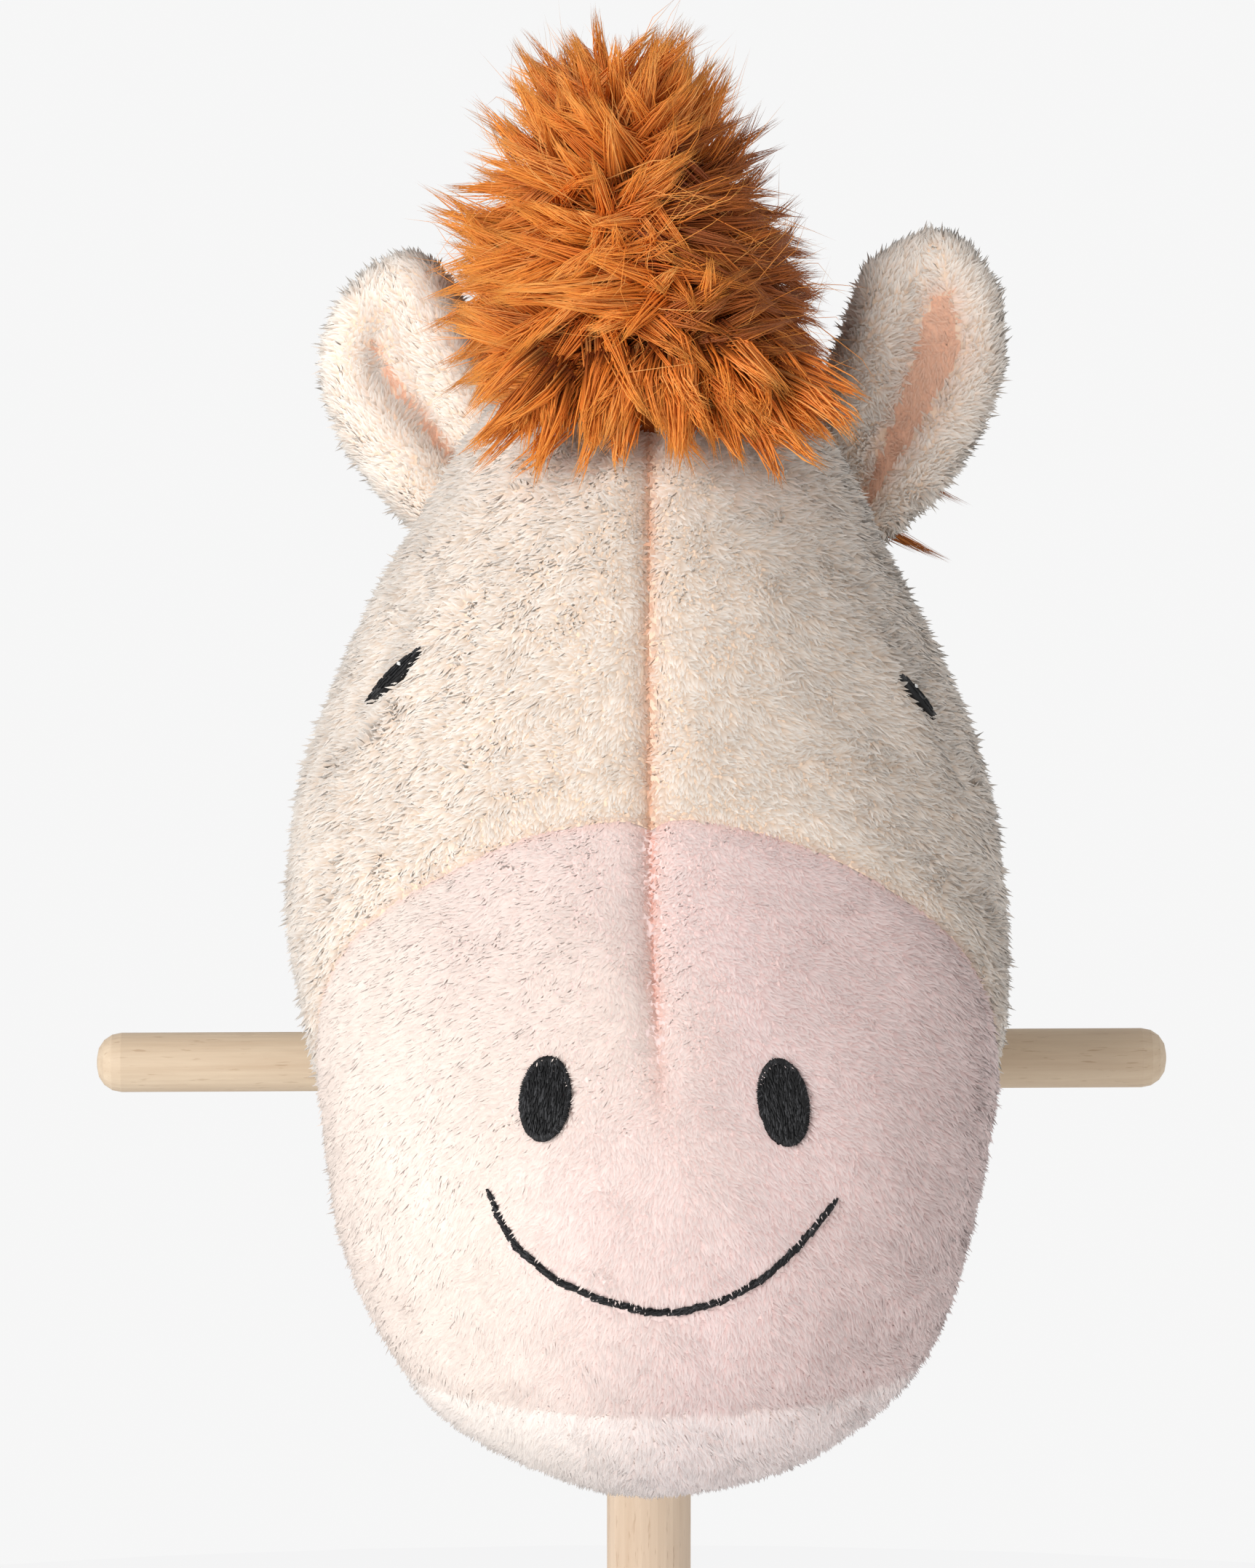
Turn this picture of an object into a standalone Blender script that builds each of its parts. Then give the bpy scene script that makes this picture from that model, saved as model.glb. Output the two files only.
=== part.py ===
"""Hobby horse: a plush horse head tied over the top of a wooden stick, with a cross handle.

Metres, +Z up. The origin is the middle of the stick's flat foot, +Z runs up the stick and the
horse looks along -Y. Heights of the soft parts count from the handle's axis.
"""

import math

import bmesh
import bpy
from mathutils import Matrix, Vector

# Wood
STICK_DIAMETER = 0.020
STICK_LENGTH = 0.700
STICK_TOP_ROUNDING = 0.004
FOOT_ROUNDING = 0.003
HANDLE_DIAMETER = 0.014
HANDLE_LENGTH = 0.252
HANDLE_ROUNDING = 0.0058
STICK_TOP_DEPTH = 0.045
HANDLE_OFFSET = -0.004

# Screw that locks the handle in the stick
SCREW_DIAMETER = 0.003
SCREW_HEAD_DIAMETER = 0.006
SCREW_HEAD_DEPTH = 0.0017
SCREW_HEAD_SUNK = 0.0005
SCREW_BITE = 0.007
SCREW_SLOT_WIDTH = 0.0008
SCREW_SLOT_DEPTH = 0.0007

# Head
HEAD_WIDTH = 0.1685
HEAD_HEIGHT = 0.259
CHIN_DROP = 0.079
MUZZLE_REACH = 0.155
HEAD_BACK = 0.036
CROWN_SETBACK = -0.006
CHIN_SETBACK = -0.099

# Neck
NECK_WIDTH = 0.090
NECK_BACK = 0.048
NECK_FRONT = 0.037
NECK_TOP_DEPTH = 0.003
HEM_CLEARANCE = 0.004
HEM_HEIGHT = 0.008
TIE_THICKNESS = 0.0026

# Cloth and its seams
COVER_THICKNESS = 0.003
FIT_GAP = 0.0003
SEAM_GAP = 0.0005
MUZZLE_SEAM_HEIGHT = 0.080
MUZZLE_SEAM_TILT = math.radians(12)
CHIN_SEAM_HEIGHT = -0.045
CHIN_SEAM_TILT = math.radians(4)
DART_END_HEIGHT = 0.019
DART_WIDTH = 0.0010

# Ears
EAR_LENGTH = 0.0715
EAR_WIDTH = 0.038
EAR_DEPTH = 0.028
EAR_SINK = 0.0103
EAR_ROOT_DEPTH = 0.055
EAR_SETBACK = 0.004
EAR_LEAN = math.radians(13)
EAR_TURN = math.radians(15)
EAR_TIP_RIM = 0.0085
EAR_CUP_WIDTH = 0.014
EAR_CUP_DEPTH = 0.034
EAR_CUP_ROOT = 0.011
EAR_CUP_FORWARD = 0.012
LINING_THICKNESS = 0.0015

# Mane
FORELOCK_LENGTH = 0.112
FORELOCK_WIDTH = 0.088
FORELOCK_DEPTH = 0.092
FORELOCK_ROOT_DEPTH = 0.050
FORELOCK_SETBACK = -0.030
FORELOCK_LEAN = math.radians(8)
CREST_FOOT_HEIGHT = 0.048
CREST_TOP_RISE = 0.004
CREST_WIDTH = 0.050
CREST_STAND = 0.022

# Stitched features
STITCH_THICKNESS = 0.0010
NOSTRIL_SPACING = 0.0515
NOSTRIL_HEIGHT = 0.026
NOSTRIL_WIDTH = 0.011
NOSTRIL_LENGTH = 0.0185
NOSTRIL_LEAN = math.radians(9)
SMILE_WIDTH = 0.075
SMILE_HEIGHT = 0.0045
SMILE_DROP = 0.0240
SMILE_SWEEP = math.radians(70)
SMILE_LINE = 0.0016
EYE_DEPTH = 0.078
EYE_SINK = 0.0121
EYE_SETBACK = -0.060
EYE_TURN = math.radians(48)
EYE_INWARDS = 0.020
EYE_WIDTH = 0.011
EYE_LENGTH = 0.020
EYE_LEAN = math.radians(30)
HIGHLIGHT_WIDTH = 0.0024
HIGHLIGHT_LENGTH = 0.0036
HIGHLIGHT_RISE = 0.0050

# Facets
ROUND_STEPS = 32
SMALL_STEPS = 20
TINY_STEPS = 10
ROUNDING_STEPS = 4
HEAD_SIDES = 12
NECK_SIDES = 8
EAR_SIDES = 8
MANE_SIDES = 8
SMILE_STEPS = 14
SHARP_ANGLE = math.radians(40)

# Half the size of a block that cuts off everything on one side of a plane
FAR = 0.6

# Sections of the head from the chin up: share of its height, then its reach to the front and to
# the back as shares of the muzzle's reach, and its reach to each side
HEAD_SECTIONS = [
    (0.03, 0.80, -0.47, 0.40),
    (0.10, 0.92, -0.38, 0.68),
    (0.20, 0.985, -0.30, 0.845),
    (0.33, 1.00, -0.19, 0.93),
    (0.46, 0.88, 0.05, 1.00),
    (0.58, 0.72, 0.68, 0.985),
    (0.70, 0.60, 0.97, 0.855),
    (0.82, 0.49, 1.00, 0.665),
    (0.94, 0.29, 0.70, 0.43),
]

# Sections of the neck above its hem: share of its length, then of its reach to the front, to the
# back and to each side
NECK_SECTIONS = [
    (0.12, 0.86, 0.70, 0.76),
    (0.34, 1.00, 0.94, 0.96),
    (0.62, 0.97, 1.00, 1.00),
    (0.88, 0.66, 0.80, 0.70),
]

# Sections of an ear, its cup, the forelock and the crest from the root up: share of the length,
# of the width and of the depth
EAR_SECTIONS = [
    (0.08, 0.66, 0.80),
    (0.38, 0.96, 1.00),
    (0.70, 0.98, 0.88),
    (0.93, 0.58, 0.50),
]
CUP_SECTIONS = [
    (0.14, 0.56, 0.60),
    (0.50, 1.00, 1.00),
    (0.86, 0.66, 0.62),
]
FORELOCK_SECTIONS = [
    (0.08, 0.66, 0.56),
    (0.34, 1.00, 1.00),
    (0.60, 0.90, 0.88),
    (0.86, 0.54, 0.52),
]
CREST_SECTIONS = [
    (0.10, 0.55, 0.50),
    (0.36, 0.96, 0.94),
    (0.68, 1.00, 1.00),
    (0.92, 0.62, 0.62),
]

CREAM = (0.86, 0.79, 0.69)
PINK = (0.84, 0.72, 0.70)
PALE_PINK = (0.87, 0.79, 0.76)
PEACH = (0.76, 0.47, 0.36)
ORANGE = (0.56, 0.17, 0.035)
BLACK = (0.015, 0.015, 0.018)
WHITE = (0.85, 0.85, 0.84)
WOOD = (0.73, 0.55, 0.37)
PALE_WOOD = (0.77, 0.60, 0.42)
FILL = (0.88, 0.88, 0.86)
STEEL = (0.55, 0.56, 0.57)
COTTON = (0.80, 0.76, 0.68)

stick_radius = STICK_DIAMETER / 2
handle_radius = HANDLE_DIAMETER / 2
crown_height = STICK_LENGTH + STICK_TOP_DEPTH
chin_height = crown_height - HEAD_HEIGHT
handle_height = chin_height + CHIN_DROP
handle_middle = Vector((0, 0, handle_height))
hem_bottom = handle_height + handle_radius + HEM_CLEARANCE
hem_top = hem_bottom + HEM_HEIGHT
tie_height = (hem_bottom + hem_top) / 2
tie_radius = stick_radius + COVER_THICKNESS + 2 * FIT_GAP + TIE_THICKNESS / 2
neck_top = crown_height - NECK_TOP_DEPTH
left_of_middle = Vector((-1, 0, 0))
right_of_middle = Vector((1, 0, 0))


def clear_scene():
    for thing in list(bpy.data.objects):
        bpy.data.objects.remove(thing, do_unlink=True)


def new_collection(name):
    group = bpy.data.collections.new(name)
    bpy.context.scene.collection.children.link(group)
    return group


def new_material(name, colour, roughness, metallic=0.0):
    material = bpy.data.materials.new(name)
    material.use_nodes = True
    shader = material.node_tree.nodes["Principled BSDF"]
    shader.inputs["Base Color"].default_value = (*colour, 1.0)
    shader.inputs["Roughness"].default_value = roughness
    shader.inputs["Metallic"].default_value = metallic
    material.diffuse_color = (*colour, 1.0)
    return material


def place(name, mesh, material):
    """Makes an object of a mesh: a part in its material, or a cutter if it has none."""
    thing = bpy.data.objects.new(name, mesh)
    if material is None:
        cutters.objects.link(thing)
        thing.hide_render = True
        thing.display_type = "WIRE"
    else:
        parts.objects.link(thing)
        mesh.materials.append(material)
        mesh.shade_smooth()
        mesh.set_sharp_from_angle(angle=SHARP_ANGLE)
    return thing


def boolean(thing, cutter, operation="DIFFERENCE"):
    cut = thing.modifiers.new(f"{operation.lower()} {cutter.name}", "BOOLEAN")
    cut.operation = operation
    cut.object = cutter
    cut.solver = "EXACT"


def arc(middle_radius, middle_height, radius, start, end):
    """Points (radius, height) along an arc of a turned profile, angles in degrees."""
    points = []
    for i in range(ROUNDING_STEPS + 1):
        angle = math.radians(start + (end - start) * i / ROUNDING_STEPS)
        points.append((middle_radius + radius * math.cos(angle), middle_height + radius * math.sin(angle)))
    return points


def turned(name, profile, material=None, steps=ROUND_STEPS):
    """Turns a profile of (radius, height), listed from top to bottom, about Z."""
    mesh = bpy.data.meshes.new(name)
    edges = [(i, i + 1) for i in range(len(profile) - 1)]
    mesh.from_pydata([(radius, 0, height) for radius, height in profile], edges, [])
    thing = place(name, mesh, material)
    turn = thing.modifiers.new("turn", "SCREW")
    turn.steps = steps
    turn.render_steps = steps
    turn.use_merge_vertices = True
    turn.merge_threshold = 0.0001
    return thing


def rounded_rod(name, radius, length, top_rounding, foot_rounding, material):
    profile = [(0, length)]
    profile += arc(radius - top_rounding, length - top_rounding, top_rounding, 90, 0)
    profile += arc(radius - foot_rounding, foot_rounding, foot_rounding, 0, -90)
    profile.append((0, 0))
    return turned(name, profile, material)


def rod_cutter(name, radius, low, high):
    return turned(name, [(0, high), (radius, high), (radius, low), (0, low)])


def block(name, low, high):
    """A box cutter between two corners."""
    bm = bmesh.new()
    bmesh.ops.create_cube(bm, size=1.0)
    size = Vector(high) - Vector(low)
    middle = (Vector(high) + Vector(low)) / 2
    bmesh.ops.transform(bm, matrix=Matrix.Translation(middle) @ Matrix.Diagonal((*size, 1)), verts=bm.verts)
    mesh = bpy.data.meshes.new(name)
    bm.to_mesh(mesh)
    bm.free()
    return place(name, mesh, None)


def beyond(name, point, direction, start):
    """A cutter that fills all that lies further than start from a point, along a direction."""
    thing = block(name, (-FAR, -FAR, start), (FAR, FAR, FAR))
    thing.matrix_world = Matrix.Translation(point) @ direction.to_track_quat("Z", "Y").to_matrix().to_4x4()
    return thing


def section_form(name, sections, foot, top, sides, inset=0.0, material=None):
    """A soft closed form through level ovals, each (height, y in front, y behind, half width),
    from its foot point to its top point, and drawn in all round by an inset."""
    cage_share = (2 + math.cos(2 * math.pi / sides)) / 3
    foot = Vector(foot)
    top = Vector(top)
    bm = bmesh.new()
    rings = []
    for height, front, back, half_width in sections:
        rise = 2 * (height - foot.z) / (top.z - foot.z) - 1
        middle = Vector((0, (back + front) / 2, height - rise * inset))
        across = (half_width - inset) / cage_share
        deep = ((back - front) / 2 - inset) / cage_share
        ring = []
        for i in range(sides):
            angle = 2 * math.pi * (i + 0.5) / sides
            ring.append(bm.verts.new(middle + Vector((across * math.cos(angle), deep * math.sin(angle), 0))))
        rings.append(ring)
    for below, above in zip(rings, rings[1:]):
        for i in range(sides):
            j = (i + 1) % sides
            bm.faces.new((below[i], below[j], above[j], above[i]))
    foot_point = bm.verts.new(foot + Vector((0, 0, inset)))
    top_point = bm.verts.new(top - Vector((0, 0, inset)))
    for i in range(sides):
        j = (i + 1) % sides
        bm.faces.new((rings[0][j], rings[0][i], foot_point))
        bm.faces.new((rings[-1][i], rings[-1][j], top_point))
    mesh = bpy.data.meshes.new(name)
    bm.to_mesh(mesh)
    bm.free()
    thing = place(name, mesh, material)
    soft = thing.modifiers.new("soft", "SUBSURF")
    soft.levels = 1
    soft.render_levels = 1
    facets = thing.modifiers.new("facets", "TRIANGULATE")
    facets.quad_method = "FIXED"
    return thing


def oval_form(name, sections, length, width, depth, sides, inset=0.0, material=None):
    """A soft form that stands on the origin along Z, its sections given as shares of its sizes."""
    levels = [
        (share * length, -deep * depth / 2, deep * depth / 2, wide * width / 2)
        for share, wide, deep in sections
    ]
    return section_form(name, levels, (0, 0, 0), (0, 0, length), sides, inset, material)


def head_form(name, inset=0.0, material=None):
    sections = []
    for share, front, back, side in HEAD_SECTIONS:
        behind = back * (HEAD_BACK if back > 0 else MUZZLE_REACH)
        sections.append(
            (chin_height + share * HEAD_HEIGHT, -front * MUZZLE_REACH, behind, side * HEAD_WIDTH / 2)
        )
    foot = (0, CHIN_SETBACK, chin_height)
    top = (0, CROWN_SETBACK, chin_height + HEAD_HEIGHT)
    return section_form(name, sections, foot, top, HEAD_SIDES, inset, material)


def head_section(height):
    """The head's section at a height over the handle's axis, as shares of its sizes."""
    share = (height + CHIN_DROP) / HEAD_HEIGHT
    for lower, upper in zip(HEAD_SECTIONS, HEAD_SECTIONS[1:]):
        if lower[0] <= share <= upper[0]:
            part_way = (share - lower[0]) / (upper[0] - lower[0])
            return [a + (b - a) * part_way for a, b in zip(lower, upper)]
    raise ValueError("the height lies outside the head's sections")


def head_front(height):
    """How far the head reaches in front of the stick, at a height over the handle's axis."""
    return MUZZLE_REACH * head_section(height)[1]


def head_side(height):
    """How far the head reaches to each side, at a height over the handle's axis."""
    return HEAD_WIDTH / 2 * head_section(height)[3]


def neck_form(name, inset=0.0, drop=0.0, material=None):
    """The neck over its hem, a collar round the stick that a drop carries further down."""
    collar = stick_radius + FIT_GAP + COVER_THICKNESS
    sections = [(hem_bottom - drop, -collar, collar, collar)]
    sections.append((hem_top, -collar, collar, collar))
    for share, front, back, side in NECK_SECTIONS:
        height = hem_top + share * (neck_top - hem_top)
        sections.append((height, -front * NECK_FRONT, back * NECK_BACK, side * NECK_WIDTH / 2))
    foot = (0, 0, hem_bottom - drop)
    top = (0, (NECK_BACK - NECK_FRONT) / 2, neck_top)
    return section_form(name, sections, foot, top, NECK_SIDES, inset, material)


def flat_cutter(name, outline, half_depth):
    """A flat outline of (x, z) points, extruded along Y both ways."""
    curve = bpy.data.curves.new(name, "CURVE")
    curve.dimensions = "2D"
    curve.fill_mode = "BOTH"
    curve.extrude = half_depth
    spline = curve.splines.new("POLY")
    spline.points.add(len(outline) - 1)
    for point, (x, z) in zip(spline.points, outline):
        point.co = (x, z, 0, 1)
    spline.use_cyclic_u = True
    drawn = bpy.data.objects.new(name, curve)
    cutters.objects.link(drawn)
    mesh = bpy.data.meshes.new_from_object(drawn.evaluated_get(bpy.context.evaluated_depsgraph_get()))
    bpy.data.objects.remove(drawn)
    bm = bmesh.new()
    bm.from_mesh(mesh)
    bmesh.ops.remove_doubles(bm, verts=bm.verts, dist=0.00001)
    bmesh.ops.rotate(bm, verts=bm.verts, matrix=Matrix.Rotation(math.radians(90), 3, "X"))
    bmesh.ops.recalc_face_normals(bm, faces=bm.faces)
    bm.to_mesh(mesh)
    bm.free()
    return place(name, mesh, None)


def oval_outline(width, length, lean, steps=SMALL_STEPS):
    """Points of an oval that leans from upright by an angle."""
    points = []
    for i in range(steps):
        angle = 2 * math.pi * i / steps
        x = width / 2 * math.cos(angle)
        z = length / 2 * math.sin(angle)
        points.append((x * math.cos(lean) + z * math.sin(lean), z * math.cos(lean) - x * math.sin(lean)))
    return points


def screw_profile(gap):
    """The side of a countersunk screw, or with a gap the hole that it goes into."""
    head = SCREW_HEAD_DIAMETER / 2 + gap
    shank = SCREW_DIAMETER / 2 + gap
    top = SCREW_HEAD_DEPTH if gap else -SCREW_HEAD_SUNK
    neck = -SCREW_HEAD_SUNK - SCREW_HEAD_DEPTH
    tip = handle_radius - stick_radius - SCREW_BITE - gap
    sides = [(head, top), (head, -SCREW_HEAD_SUNK - gap)] if gap else [(head, top)]
    return [(0, top), *sides, (shank, neck), (shank, tip + shank), (0, tip)]


def make_wood():
    stick = rounded_rod("stick", stick_radius, STICK_LENGTH, STICK_TOP_ROUNDING, FOOT_ROUNDING, wood)
    handle = rounded_rod(
        "handle", handle_radius, HANDLE_LENGTH, HANDLE_ROUNDING, HANDLE_ROUNDING, pale_wood
    )
    across = Matrix.Rotation(math.radians(90), 4, "Y")
    left_end = HANDLE_OFFSET - HANDLE_LENGTH / 2
    handle.matrix_world = Matrix.Translation((left_end, 0, handle_height)) @ across
    bore = rod_cutter("handle_bore", handle_radius + FIT_GAP, -STICK_DIAMETER, STICK_DIAMETER)
    bore.matrix_world = Matrix.Translation(handle_middle) @ across
    boolean(stick, bore)

    behind = Matrix.Translation((0, stick_radius, handle_height)) @ Matrix.Rotation(math.radians(-90), 4, "X")
    hole = turned("screw_hole", screw_profile(FIT_GAP), steps=SMALL_STEPS)
    hole.matrix_world = behind
    boolean(stick, hole)
    boolean(handle, hole)
    screw = turned("handle_screw", screw_profile(0), steel, SMALL_STEPS)
    screw.matrix_world = behind
    slot = block(
        "screw_slot",
        (-SCREW_HEAD_DIAMETER, -SCREW_SLOT_WIDTH / 2, -SCREW_HEAD_SUNK - SCREW_SLOT_DEPTH),
        (SCREW_HEAD_DIAMETER, SCREW_SLOT_WIDTH / 2, SCREW_HEAD_DEPTH),
    )
    slot.matrix_world = behind
    boolean(screw, slot)


def make_stuffing():
    head = head_form("head_stuffing", COVER_THICKNESS + FIT_GAP, fill)
    boolean(head, stick_pocket)
    boolean(head, tie_room)
    neck = neck_form("neck_stuffing", COVER_THICKNESS + FIT_GAP, HEM_HEIGHT, fill)
    boolean(neck, head_hollow)
    boolean(neck, stick_pocket)


def make_head_cover():
    seam_point = Vector((0, -head_front(MUZZLE_SEAM_HEIGHT), handle_height + MUZZLE_SEAM_HEIGHT))
    ahead = Vector((0, -math.cos(MUZZLE_SEAM_TILT), -math.sin(MUZZLE_SEAM_TILT)))
    muzzle_side = beyond("muzzle_side", seam_point, ahead, -SEAM_GAP / 2)
    face_side = beyond("face_side", seam_point, -ahead, -SEAM_GAP / 2)

    lip_point = Vector((0, -head_front(CHIN_SEAM_HEIGHT), handle_height + CHIN_SEAM_HEIGHT))
    below = Vector((0, math.sin(CHIN_SEAM_TILT), -math.cos(CHIN_SEAM_TILT)))
    chin_side = beyond("chin_side", lip_point, below, -SEAM_GAP / 2)
    lip_side = beyond("lip_side", lip_point, -below, -SEAM_GAP / 2)

    for name, away in (("face_panel_left", right_of_middle), ("face_panel_right", left_of_middle)):
        panel = head_form(name, 0, cream)
        boolean(panel, beyond(f"{name}_edge", handle_middle, away, -SEAM_GAP / 2))
        boolean(panel, head_hollow)
        boolean(panel, muzzle_side)
        boolean(panel, chin_side)
        boolean(panel, neck_room)
        boolean(panel, tie_room)

    muzzle = head_form("muzzle_panel", 0, pink)
    boolean(muzzle, head_hollow)
    boolean(muzzle, face_side)
    boolean(muzzle, chin_side)
    dart = block(
        "dart",
        (-DART_WIDTH / 2, -FAR, handle_height + DART_END_HEIGHT),
        (DART_WIDTH / 2, 0, crown_height + HEAD_HEIGHT),
    )
    boolean(muzzle, dart)

    chin = head_form("chin_panel", 0, pale_pink)
    boolean(chin, head_hollow)
    boolean(chin, lip_side)


def make_neck_cover():
    hollow = neck_form("neck_hollow", COVER_THICKNESS, HEM_HEIGHT)
    for name, away in (("neck_panel_left", right_of_middle), ("neck_panel_right", left_of_middle)):
        panel = neck_form(name, 0, 0, cream)
        boolean(panel, beyond(f"{name}_edge", handle_middle, away, -SEAM_GAP / 2))
        boolean(panel, hollow)
        boolean(panel, stick_pocket)
        boolean(panel, head_hollow)


def make_neck_tie():
    curve = bpy.data.curves.new("neck_tie", "CURVE")
    curve.dimensions = "3D"
    curve.bevel_depth = TIE_THICKNESS / 2
    curve.bevel_resolution = 1
    spline = curve.splines.new("POLY")
    spline.points.add(ROUND_STEPS - 1)
    for i, point in enumerate(spline.points):
        angle = 2 * math.pi * i / ROUND_STEPS
        point.co = (tie_radius * math.cos(angle), tie_radius * math.sin(angle), 0, 1)
    spline.use_cyclic_u = True
    tie = bpy.data.objects.new("neck_tie", curve)
    tie.location.z = tie_height
    parts.objects.link(tie)
    curve.materials.append(cotton)


def ear_place(side):
    """Where an ear stands: side is -1 for the left and 1 for the right."""
    root_height = crown_height - EAR_ROOT_DEPTH
    spread = head_side(root_height - handle_height) - EAR_SINK
    root = Matrix.Translation((side * spread, EAR_SETBACK, root_height))
    lean = Matrix.Rotation(side * EAR_LEAN, 4, "Y")
    turn = Matrix.Rotation(-side * EAR_TURN, 4, "Z")
    return root @ lean @ turn


def ear_leaf(name, side, inset, material=None):
    leaf = oval_form(name, EAR_SECTIONS, EAR_LENGTH, EAR_WIDTH, EAR_DEPTH, EAR_SIDES, inset, material)
    leaf.matrix_world = ear_place(side)
    return leaf


def ear_cup(name, side, inset, material=None):
    length = EAR_LENGTH - EAR_CUP_ROOT - EAR_TIP_RIM
    cup = oval_form(name, CUP_SECTIONS, length, EAR_CUP_WIDTH, EAR_CUP_DEPTH, EAR_SIDES, inset, material)
    cup.matrix_world = ear_place(side) @ Matrix.Translation((0, -EAR_CUP_FORWARD, EAR_CUP_ROOT))
    return cup


def make_ears():
    for side, word in ((-1, "left"), (1, "right")):
        back = ear_leaf(f"ear_back_{word}", side, 0, cream)
        boolean(back, ear_cup(f"ear_cup_{word}", side, 0))
        boolean(back, head_room)
        boolean(back, neck_room)
        lining = ear_cup(f"ear_lining_{word}", side, FIT_GAP, peach)
        boolean(lining, ear_leaf(f"ear_lining_edge_{word}", side, LINING_THICKNESS), "INTERSECT")
        boolean(lining, ear_cup(f"ear_hollow_{word}", side, FIT_GAP + LINING_THICKNESS))
        boolean(lining, head_room)
        boolean(lining, neck_room)


def forelock_form(name, inset, material=None):
    tuft = oval_form(
        name, FORELOCK_SECTIONS, FORELOCK_LENGTH, FORELOCK_WIDTH, FORELOCK_DEPTH, MANE_SIDES, inset, material
    )
    root = Matrix.Translation((0, FORELOCK_SETBACK, crown_height - FORELOCK_ROOT_DEPTH))
    tuft.matrix_world = root @ Matrix.Rotation(-FORELOCK_LEAN, 4, "X")
    return tuft


def make_mane():
    forelock = forelock_form("forelock", 0, fur)
    boolean(forelock, head_room)
    boolean(forelock, neck_room)
    crest_low = handle_height + CREST_FOOT_HEIGHT
    crest_high = crown_height + CREST_TOP_RISE
    sections = []
    for share, wide, deep in CREST_SECTIONS:
        reach = NECK_BACK + deep * CREST_STAND
        height = crest_low + share * (crest_high - crest_low)
        sections.append((height, 0, reach, wide * CREST_WIDTH / 2))
    foot = (0, NECK_BACK / 2, crest_low)
    top = (0, NECK_BACK / 2, crest_high)
    crest = section_form("crest_mane", sections, foot, top, MANE_SIDES, 0, fur)
    boolean(crest, neck_room)
    boolean(crest, head_room)
    boolean(crest, forelock_form("forelock_room", -FIT_GAP))
    for side, word in ((-1, "left"), (1, "right")):
        ear_room = ear_leaf(f"ear_room_{word}", side, -FIT_GAP)
        boolean(forelock, ear_room)
        boolean(crest, ear_room)


def stitch_patch(name, cutter, under, thickness, material):
    """A thin patch on the head's surface inside a cutter, above what is under it."""
    patch = head_form(name, -under - thickness, material)
    boolean(patch, cutter, "INTERSECT")
    boolean(patch, head_form(f"{name}_bed", -under))


def smile_outline():
    """Both sides of the mouth's line, an arc of an oval through its two corners."""
    half_width = SMILE_WIDTH / 2 / math.sin(SMILE_SWEEP)
    half_height = SMILE_DROP / (1 - math.cos(SMILE_SWEEP))
    points = []
    onwards = list(range(SMILE_STEPS + 1))
    for grow, angles in ((SMILE_LINE / 2, onwards), (-SMILE_LINE / 2, onwards[::-1])):
        for i in angles:
            angle = SMILE_SWEEP * (2 * i / SMILE_STEPS - 1)
            x = (half_width + grow) * math.sin(angle)
            z = half_height * math.cos(SMILE_SWEEP) - (half_height + grow) * math.cos(angle)
            points.append((x, z))
    return points


def make_stitching():
    front = Matrix.Translation((0, -FAR - MUZZLE_REACH / 2, handle_height))
    mouth = flat_cutter("mouth_line_cut", smile_outline(), FAR)
    mouth.matrix_world = front @ Matrix.Translation((0, 0, SMILE_HEIGHT))
    stitch_patch("mouth_line", mouth, FIT_GAP, STITCH_THICKNESS, black_thread)
    for side, word in ((-1, "left"), (1, "right")):
        outline = oval_outline(NOSTRIL_WIDTH, NOSTRIL_LENGTH, -side * NOSTRIL_LEAN)
        nostril = flat_cutter(f"nostril_{word}_cut", outline, FAR)
        nostril.matrix_world = front @ Matrix.Translation((side * NOSTRIL_SPACING / 2, 0, NOSTRIL_HEIGHT))
        stitch_patch(f"nostril_{word}", nostril, FIT_GAP, STITCH_THICKNESS, black_thread)

        eye_height = crown_height - EYE_DEPTH
        spread = head_side(eye_height - handle_height) - EYE_SINK
        socket = Matrix.Translation((side * spread, EYE_SETBACK, eye_height))
        turn = Matrix.Rotation(side * EYE_TURN, 4, "Z")
        outwards = socket @ turn @ Matrix.Translation((0, EYE_INWARDS - FAR, 0))
        outline = oval_outline(EYE_WIDTH, EYE_LENGTH, -side * EYE_LEAN)
        eye = flat_cutter(f"eye_{word}_cut", outline, FAR)
        eye.matrix_world = outwards
        stitch_patch(f"eye_{word}", eye, FIT_GAP, STITCH_THICKNESS, black_thread)
        outline = oval_outline(HIGHLIGHT_WIDTH, HIGHLIGHT_LENGTH, -side * EYE_LEAN, TINY_STEPS)
        shine = flat_cutter(f"eye_highlight_{word}_cut", outline, FAR)
        shine.matrix_world = outwards @ Matrix.Translation((0, 0, HIGHLIGHT_RISE))
        over_eye = 2 * FIT_GAP + STITCH_THICKNESS
        stitch_patch(f"eye_highlight_{word}", shine, over_eye, STITCH_THICKNESS / 2, white_thread)


clear_scene()
parts = new_collection("hobby_horse")
cutters = new_collection("cutters")

wood = new_material("stick_wood", WOOD, 0.55)
pale_wood = new_material("handle_wood", PALE_WOOD, 0.5)
steel = new_material("screw_steel", STEEL, 0.35, 1.0)
cream = new_material("cream_plush", CREAM, 0.95)
pink = new_material("pink_plush", PINK, 0.95)
pale_pink = new_material("chin_plush", PALE_PINK, 0.95)
peach = new_material("ear_lining_cloth", PEACH, 0.9)
fur = new_material("mane_fur", ORANGE, 0.7)
black_thread = new_material("black_thread", BLACK, 0.55)
white_thread = new_material("white_thread", WHITE, 0.55)
fill = new_material("fibre_fill", FILL, 1.0)
cotton = new_material("cotton_cord", COTTON, 0.85)

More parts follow.
